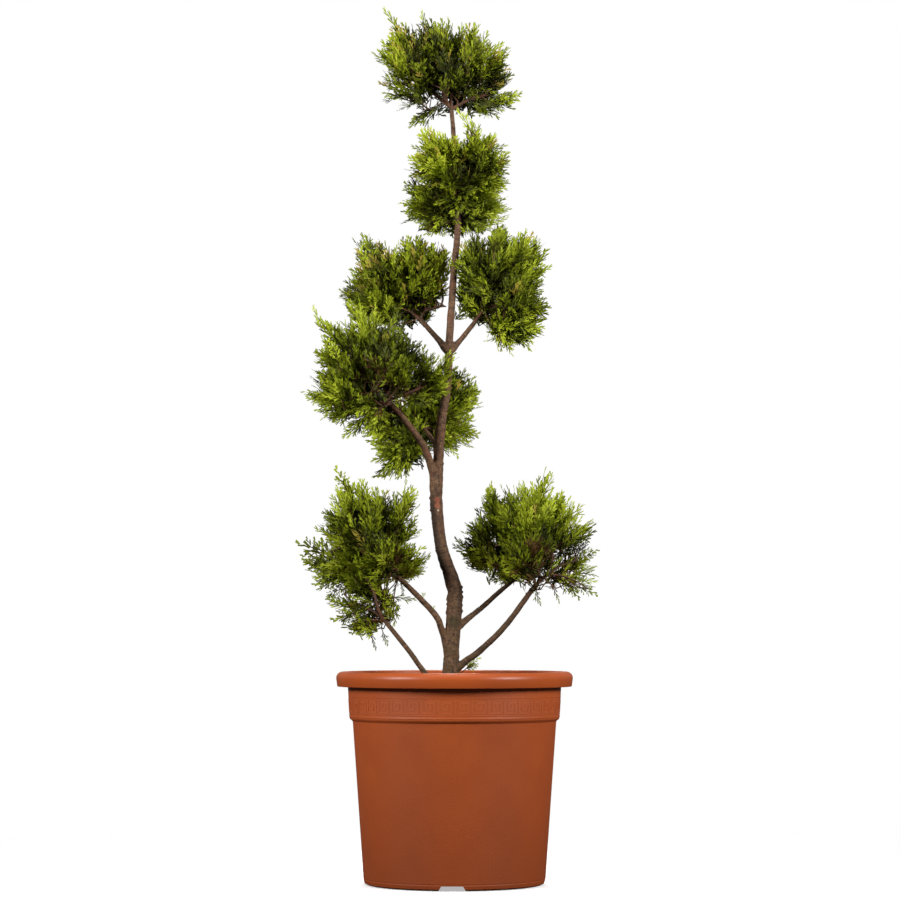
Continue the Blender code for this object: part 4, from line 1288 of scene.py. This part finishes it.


# %% [markdown]
# ## Dealing out the tones
# A spray's tone follows its place, with painted shade deep inside and underneath and painted
# light above and outside, and slow noise so that neighbours match and whole tufts stand out
# light or dark. Sprays by the fork are dry and brown, where the plant no longer gets light.

# %% A tone for each plume and each of its fingers
UNEVEN = 0.85
OUTER_PART = 0.66
NEAR_FORK = 0.030
USUAL_DRY, USUAL_SUNNY = 0.12, 0.01
SUNNY = {"top": 0.16, "mid_left": 0.20, "second": 0.05}
DRY_SHARE = {"low_left": 0.24, "low_right": 0.24}
LIGHT_MASSES = {"low_right": 0.45, "front_left": -0.4, "low_left": 0.3, "back": 0.0,
                "top": -0.9, "second": -0.5, "mid_left": -0.4, "mid_right": -0.4}


def height_in(name, place):
    """0 at the lowest reach of a mass and 1 at its highest."""
    low, high = mass_heights(name)
    return (place.z - low) / (high - low)


def plume_tone(name, plume, generator):
    """How light a plume is, from 0 for deep green to 5 for young growth. Painted light
    makes it lighter high in the mass and at its outside, and painted shade darker deep inside.
    """
    _, tip, looseness, openness = plume
    if looseness < 0.0:
        return openness
    tuft = noise.noise(tip * 24.0)
    # Painted light and shade: lighter high in the mass, darker deep inside it.
    tone = (1.15 + 1.2 * height_in(name, tip) + 2.4 * (openness - 0.75) + 1.3 * tuft
            + LIGHT_MASSES[name])
    return tone + generator.uniform(-0.55, 0.55)


def finger_tones(tone, kind, shares, generator):
    """Deeper at a spray's base, partly painted shade among the inner fingers, and lighter at its
    ends. Bronze touches only the ends.
    """
    uneven = np.array([generator.uniform(-1.0, 1.0) for _ in shares])
    out = shares + 0.12 * uneven
    lift = (out > 0.80).astype(int) - (out < 0.46).astype(int) - (out < 0.24)
    tones = np.clip(np.rint(tone + UNEVEN * uneven).astype(int) + lift, 0, len(GREENS) - 1)
    if kind == "dry":
        tones = np.where(out > OUTER_PART, tones, DRY_TONE)
    if kind == "bronze":
        tones = np.where(out > OUTER_PART, BRONZE_TONE, tones)
    return tones


def spray_kind(name, plume, forks, generator):
    """Bronze near the top of the sunny masses, dry by the forks, green elsewhere."""
    root, tip, _, _ = plume
    up = height_in(name, tip)
    near_fork = min((root - fork).length for fork in forks) < NEAR_FORK
    if near_fork and generator.random() < DRY_SHARE.get(name, USUAL_DRY):
        return "dry"
    if up > 0.45 and generator.random() < SUNNY.get(name, USUAL_SUNNY) * (0.4 + up):
        return "bronze"
    return "green"


# %% [markdown]
# ## Twigs inside a mass
# Stems leave the limb's tip just as in the solid, run to the middle of each lobe, and every
# spray hangs on the nearest twig behind it. Each new twig can carry later ones, so the net
# branches by itself. All the twigs of a mass are splines of one curve with a thin bevel,
# which gives thousands of tapered tubes at once. Arms that show through an opening have knots
# of their own, in millimetres, with the radius at both ends.

# %% Grow a net of twigs
STEM = 0.012
TWIG_STEP, LONG_STEP = 0.007, 0.012
TWIG_ROUNDNESS = 1
STEM_RADIUS, ARMED_STEM_RADIUS, STEM_END = 0.0025, 0.0016, 0.0010
TWIG_RADII = (0.00110, 0.00045)
ARMS = {
    "front_left": [
        ([(-79.5, -55.5, 672), (-88, -61.5, 680.5), FRONT_FORK], 4.3, 3.6),
        ([FRONT_FORK, (-72.5, -68, 697.7), (-42.6, -66, 709)], 2.9, 1.8),
        ([FRONT_FORK, (-112, -72, 686), (-134, -74, 680)], 2.2, 1.1),
        ([FRONT_FORK, (-103, -72, 715), (-112, -74, 745)], 2.6, 1.2)],
    "low_left": [
        ([(-80, -8, 438), (-86.5, -12, 458), (-88, -12, 482), (-82, -10, 510), (-77, -6, 535)],
         2.3, 1),
        ([(-80, -8, 438), (-98, -14, 450), (-119, -20, 464), (-134, -22, 492)], 2.1, 1),
        ([(-82, -9, 441), (-70, -6, 462), (-60, 0, 482)], 1.7, 0.9),
        ([(-97, -22, 373), (-109, -26, 392), (-116, -26, 418), (-128, -24, 440)], 2.8, 1.2),
        ([(-99, -22, 376), (-118, -26, 390), (-140, -26, 400), (-158, -22, 414)], 2.1, 1),
        ([(-100, -22, 376), (-122, -26, 377), (-146, -26, 372)], 1.5, 0.8)],
    "low_right": [
        ([(111, -18, 420.5), (123, -22, 434), (134, -26, 443), (152, -26, 455), (176, -20, 463)],
         3.4, 1.2),
        ([(130, -25, 440), (138, -24, 456), (142, -18, 476)], 1.8, 0.9),
        ([(124, -22, 434), (118, -28, 455), (110, -28, 480)], 2, 1),
        ([(134, -26, 443), (156, -24, 440), (176, -18, 432), (192, -14, 422)], 1.6, 0.8),
        ([(83.5, 35, 433.5), (92, 28, 446), (102, 16, 462), (106, 4, 485)], 2.7, 1.2),
        ([(83.5, 35, 433.5), (76, 36, 452), (66, 36, 475)], 2.1, 1)],
    "mid_left": [
        ([(-48.5, 31.5, 813.5), (-43.6, 33, 825.7), (-24.7, 34, 832.5), (-12, 36, 834)], 1.8,
         0.8),
        ([(-48.5, 31.5, 813.5), (-64, 33, 825), (-85, 34, 834.5), (-108, 34, 844)], 2.2, 1.1)],
    "top": [
        ([(-4.3, 0, 1118), (-18.1, -2, 1131.4), (-34.4, -4, 1142.4), (-52, -6, 1156),
         (-64, -8, 1176)], 2.6, 1.4),
        ([(-8, -2, 1123), (-21.7, -6, 1153.4), (-30, -8, 1178), (-34, -6, 1200)], 2.2, 1.1),
        ([(-4.3, 0, 1119), (-5.3, 4, 1147.8), (-2, 10, 1172), (2, 16, 1192)], 2.1, 1.1),
        ([(-4.3, 0, 1118), (10.9, -4, 1125.8), (25.5, -6, 1133.2), (43.6, -7, 1138.7),
         (60, -6, 1160.7)], 2.8, 1.3),
        ([(25.5, -6, 1133.2), (29.8, -10, 1151.9), (26.3, -12, 1168), (31, -12, 1186)], 1.8, 1)],
}


def tapered(points, first, last):
    """Points and radii of a line that thins evenly from its first point to its last."""
    steps = len(points) - 1
    return points, [first + (last - first) * index / steps for index in range(steps + 1)]


def bent_line(start, start_way, end, end_way, bend=0.35, step=TWIG_STEP):
    """Points on a curve that leaves one way and arrives another."""
    gap = (end - start).length
    first, second = start + start_way * gap * bend, end - end_way * gap * bend
    count = max(2, round(gap / step))
    line = []
    for index in range(count + 1):
        t = index / count
        line.append(start * (1 - t) ** 3 + first * (3 * t * (1 - t) ** 2)
                    + second * (3 * t * t * (1 - t)) + end * t ** 3)
    return line


def with_ways(points, afters):
    """Each point with the way to the one after it."""
    return [(point, (after - point).normalized()) for point, after in zip(points, afters)]


def grow_twigs(name, plumes):
    """Tapered lines from the limbs to every plume."""
    lines, nodes = [], []
    for start, way, radius in forks_of(name):
        fork = start + way * STEM
        if name in ("second", "front_left"):
            nodes.append((start, UP))
            continue
        lines.append(tapered([start, fork], radius, radius * 0.86))
        nodes.append((fork, way))
    for knots, *ends in ARMS.get(name, []):
        line = [Vector(point) for point in smooth_line(rows_in_metres(knots, 3), 5)]
        lines.append(tapered(line, *metres(*ends)))
        nodes += with_ways(line, line[1:])
    starts = list(nodes)
    for lobe in MASSES[name]["lobes"]:
        centre = Vector(lobe[:3])
        fork, way = min(starts, key=lambda pair: (pair[0] - centre).length)
        aim = (centre - fork).normalized()
        line = bent_line(fork, (way + aim).normalized(), centre, (aim + UP * 0.5).normalized())
        radius = ARMED_STEM_RADIUS if name in ARMS else STEM_RADIUS
        lines.append(tapered(line, radius, STEM_END))
        nodes += with_ways(line[1:], line[2:] + [line[-1] + aim])
    plumes = sorted(plumes, key=lambda plume: min((plume[0] - fork).length
                                                  for fork, _ in starts))
    places = np.array([tuple(point) for point, _ in nodes])
    for root, tip, *_ in plumes:
        way = (tip - root).normalized()
        gaps = np.array(root) - places
        lengths = np.linalg.norm(gaps, axis=1) + 1e-6
        ahead = (gaps @ np.array(way)) / lengths
        start, start_way = nodes[int(np.argmin(lengths * (1.6 - 0.6 * ahead)))]
        end = root + way * (0.55 * (tip - root).length)
        line = bent_line(start, start_way, end, way, bend=0.3, step=LONG_STEP)
        lines.append(tapered(line, *TWIG_RADII))
        nodes.append((line[-2], way))
        places = np.vstack([places, tuple(line[-2])])
    return lines


# %% [markdown]
# ## Twig colour
# Fresh cypress twigs are red-brown and darken with age. Object coordinates mix the two, so
# that twigs change tone along their way.

# %% Twig material
def twig_finish():
    finish = Finish("cypress_twig", {"Specular IOR Level": 0.3, "Roughness": 0.72})
    patches = finish.cloud(finish.place(), 90.0)
    tone = finish.step(patches, 0.38, 0.62)
    finish.wear({"Base Color": finish.mix(tone, paint(96, 62, 42), paint(68, 48, 33))})
    return finish.material


twig_bark = twig_finish()

# %% [markdown]
# ## Putting a mass together
# The strips of all the sprays go into one array, and their tones into another. One mesh per
# mass keeps each under two hundred thousand triangles.

# %% Build every mass
NEARBY = 0.02
FORK_MARGIN = 0.006
LEAST_ROOM = 0.55


def leaf_mesh(name, corners, tones):
    """Two triangles for each strip."""
    first = np.arange(len(corners))[:, None] * 4
    faces = np.concatenate([first + (0, 1, 2), first + (0, 2, 3)], axis=1).reshape(-1, 3)
    mesh = bpy.data.meshes.new(name)
    mesh.from_pydata(corners.reshape(-1, 3), [], faces)
    mesh.polygons.foreach_set("material_index", np.repeat(tones, 2).astype(np.int32))
    mesh.update()
    return mesh


def grow_plumes(name, forks, generator):
    plumes = tip_plumes(name, forks, generator)
    for index in range(len(MASSES[name]["lobes"])):
        plumes += lobe_plumes(name, index, forks, generator)
    return plumes


def grow_leaves(name, plumes, forks, generator):
    """Corners and tones of all the fingers, and the plumes that had room to grow."""
    lobes = ALL_LOBES[name]
    low = (lobes[:, :3] - lobes[:, 3:4]).min(axis=0) - NEARBY
    high = (lobes[:, :3] + lobes[:, 3:4]).max(axis=0) + NEARBY
    near = np.all((LIMB_PLACES > low) & (LIMB_PLACES < high), axis=1)
    heart = Vector(lobes[:, :3].mean(axis=0))
    front = min(fork.y for fork in forks) + FORK_MARGIN
    corners, tones, kept = [], [], []
    for plume in plumes:
        tone = plume_tone(name, plume, generator)
        outward = (plume[1] - heart).normalized()
        shoot = plume[2] < 0.0
        choice = small_patterns if -plume[2] >= WIDE_SHOOT else patterns
        grown = []
        for root, tip, across, droop, spread in sprays_of(plume, outward, generator):
            strips, shares = choice[generator.randrange(len(choice))]
            placed = lay_out(strips, root, tip, across, droop, spread)
            fingers = placed.mean(axis=1)
            free = room_for(fingers, name, near)
            middle = root.lerp(tip, 0.6)
            kind = spray_kind(name, plume, forks, generator)
            if generator.random() < dry_share(name, middle):
                kind = "dry"
            left_out, lighter = at_spots(name, fingers, front)
            # Painted light: a spray that points outwards is lighter, one that points inwards
            # darker.
            own = tone + 0.9 * (tip - root).normalized().dot(outward) - 0.5 + lighter
            if shoot:
                free[:], left_out, own, kind = True, 0.0, tone, "green"
            shade = finger_tones(own + generator.uniform(-0.3, 0.3), kind, shares, generator)
            fork = min(forks, key=lambda place: (middle - place).length)
            close = (middle - fork).length < BARE.get(name, LEAST_BARE)
            below = middle.z < fork.z + FORK_MARGIN and name != LEAFY_BELOW
            if close and (middle.y < front or below):
                left_out = max(left_out, BARE_SHARE)
            if free.mean() < LEAST_ROOM or (not shoot and generator.random() < left_out):
                continue
            grown.append((placed[free], shade[free]))
        if shoot or len(grown) > 1:
            kept.append(plume)
            corners += [places for places, _ in grown]
            tones += [shade for _, shade in grown]
    return np.concatenate(corners), np.concatenate(tones), kept


def build_mass(name):
    generator = random.Random(MASSES[name]["seed"])
    forks = [start for start, _, _ in forks_of(name)]
    plumes = grow_plumes(name, forks, generator)
    corners, tones, kept = grow_leaves(name, plumes, forks, generator)
    node = "pompon_" + name
    leaves = leaf_mesh(node + "_leaves", corners, tones)
    hand_over("leaves_" + name, leaves, leaf_materials, [node])
    twigs = tubes("twigs_" + name, grow_twigs(name, kept), TWIG_ROUNDNESS)
    hand_over("twigs_" + name, twigs, [twig_bark])
    return len(kept)


counts = {name: build_mass(name) for name in MASSES}
print(sum(counts.values()), "plumes:", counts)

# %% [markdown]
# ## The shoot at the foot
# One green shoot grows low on the trunk behind the right-hand bough. It follows the same rule
# with three tips. Two tiny shoots sit on the upper left-hand bough.

# %% Basal shoot
SPRIG_TONE = 4
SPRIG_ROOT = (0.0062, 0.0066, 0.2990)
SPRIG_TIPS = [(0.0375, 0.006, 0.3240), (0.034, 0.002, 0.3115), (0.026, 0.012, 0.3190)]
BOUGH_SHOOTS = [((-0.0490, -0.010, 0.4095), (-0.0415, -0.013, 0.4160)),
                ((-0.0330, -0.010, 0.3905), (-0.0275, -0.013, 0.3975))]


def build_sprig():
    generator = random.Random(31)
    root = Vector(SPRIG_ROOT)
    fork = root.lerp(Vector(SPRIG_TIPS[0]), 0.35)
    corners, tones = [], []
    lines = [tapered([root - (fork - root), root, fork], 0.0012, 0.0008)]
    for tip in SPRIG_TIPS:
        tip = Vector(tip)
        for share in (0.0, 0.25, 0.5):
            strips, shares = patterns[generator.randrange(PATTERNS)]
            start = fork.lerp(tip, share * 0.6)
            end = tip if share == 0.0 else tip.lerp(fork, 0.3) + shaken(0.006, generator)
            across = across_facing((end - start).normalized(), TO_VIEWER, generator)
            corners.append(lay_out(strips, start, end, across, 0.1, 1.3))
            tones.append(finger_tones(SPRIG_TONE, "green", shares, generator))
        lines.append(tapered([fork, fork.lerp(tip, 0.5)], 0.0008, 0.0004))
    across = Vector((0.7, 0, -0.7))
    for start, end in BOUGH_SHOOTS:
        strips, shares = patterns[generator.randrange(PATTERNS)]
        corners.append(lay_out(strips, Vector(start), Vector(end), across, 0.1, 1.2))
        tones.append(finger_tones(SPRIG_TONE, "green", shares, generator))
    mesh = leaf_mesh("sprig_leaves", np.concatenate(corners), np.concatenate(tones))
    hand_over("sprig_leaves", mesh, leaf_materials, ["basal_sprig"])
    hand_over("sprig_twigs", tubes("sprig_twigs", lines, TWIG_ROUNDNESS), [twig_bark])


build_sprig()

# %% [markdown]
# ## Floor, light and camera
# The picture was taken in a white studio from straight in front, a little above the pot's
# rim, with a long lens. The world is white to the camera and dim as a light. Two softboxes
# with grids in front, left and right, light the crown and leave the pot softer. A large one
# overhead gives the tops their brightness, and a weak one behind keeps the back from going
# black.

# %% Floor that fades into white
FLOOR_RADIUS = 3.0
FLOOR_DROP = 0.0004
FLOOR_GLOW = 0.45


def build_floor():
    shape = bmesh.new()
    bmesh.ops.create_circle(shape, cap_ends=True, segments=96, radius=FLOOR_RADIUS)
    bmesh.ops.translate(shape, vec=(0, 0, -FLOOR_DROP), verts=shape.verts)
    floor = loose("studio_floor", mesh_from(shape, "studio_floor"))
    finish = Finish("pale_floor", {"Roughness": 0.9, "Specular IOR Level": 0.1,
                                   "Emission Color": paint(255, 255, 255),
                                   "Emission Strength": FLOOR_GLOW})
    place = finish.place()
    away = finish.node("VectorMath", {"operation": "LENGTH"}, {0: place}, out=1)
    dust = finish.cloud(place, 3.0)
    finish.wear({
        "Base Color": finish.mix(dust, paint(248, 248, 247), paint(253, 253, 253)),
        "Alpha": finish.fall(away, 0.35, 1.3),
    })
    floor.data.materials.append(finish.material)
    floor.visible_diffuse = False
    floor.visible_glossy = False


build_floor()

# %% Softboxes and the white room
FROM_ABOVE, FROM_BELOW = 0.22, 0.03
GRID_SPREAD = math.radians(74.0)


def softbox(name, azimuth, elevation, distance, size, power, target=(0.0, 0.0, 0.6),
            spread=math.pi):
    """A rectangular area light, turned round the plant from straight in front."""
    turn, rise = math.radians(azimuth), math.radians(elevation)
    target = Vector(target)
    away = Vector((math.sin(turn) * math.cos(rise), -math.cos(turn) * math.cos(rise),
                   math.sin(rise)))
    data = bpy.data.lights.new(name, "AREA")
    data.shape, data.energy = "RECTANGLE", power
    data.size, data.size_y = size
    data.spread = spread
    lamp = loose(name, data)
    lamp.location = target + away * distance
    lamp.rotation_euler = (-away).to_track_quat("-Z", "Y").to_euler()


CROWN = (0.0, 0.0, 1.10)
softbox("left_softbox", -55, 4, 2.3, (0.8, 0.8), 15.0, CROWN, GRID_SPREAD)
softbox("right_softbox", 55, 4, 2.3, (0.8, 0.8), 15.0, CROWN, GRID_SPREAD)
softbox("back_softbox", 180, 40, 2.3, (0.8, 0.8), 8.0, CROWN, GRID_SPREAD)
softbox("top_softbox", 0, 75, 2.5, (1.6, 1.6), 22.0)


def white_room():
    """White to the eye. As a light it is dim, and dimmer from below than from above."""
    world = bpy.data.worlds.new("white_room")
    world.use_nodes = True
    glow = world.node_tree.nodes["Background"]
    glow.inputs["Color"].default_value = (1.0, 1.0, 1.0, 1.0)
    recipe = Recipe(world.node_tree)
    seen = recipe.node("LightPath", {}, {}, out=0)
    above = recipe.step(recipe.height(recipe.node("TexCoord", {}, {}, out=0)), -0.25, 0.35)
    light = FROM_BELOW + (FROM_ABOVE - FROM_BELOW) * above
    recipe.put(glow.inputs["Strength"], seen + (1.0 - seen) * light)
    return world


scene = bpy.context.scene
scene.world = white_room()
scene.view_settings.view_transform = "Standard"

# %% Camera at the photograph's angle
LENS, SENSOR, TILT = 124.94, 36.0, 93.21

lens = bpy.data.cameras.new("camera")
lens.lens, lens.sensor_width = LENS, SENSOR
lens.clip_end = 100.0
camera = loose("camera", lens)
camera.location = EYE
camera.rotation_euler = (math.radians(TILT), 0.0, 0.0)
scene.camera = camera
print("camera at", tuple(camera.location))
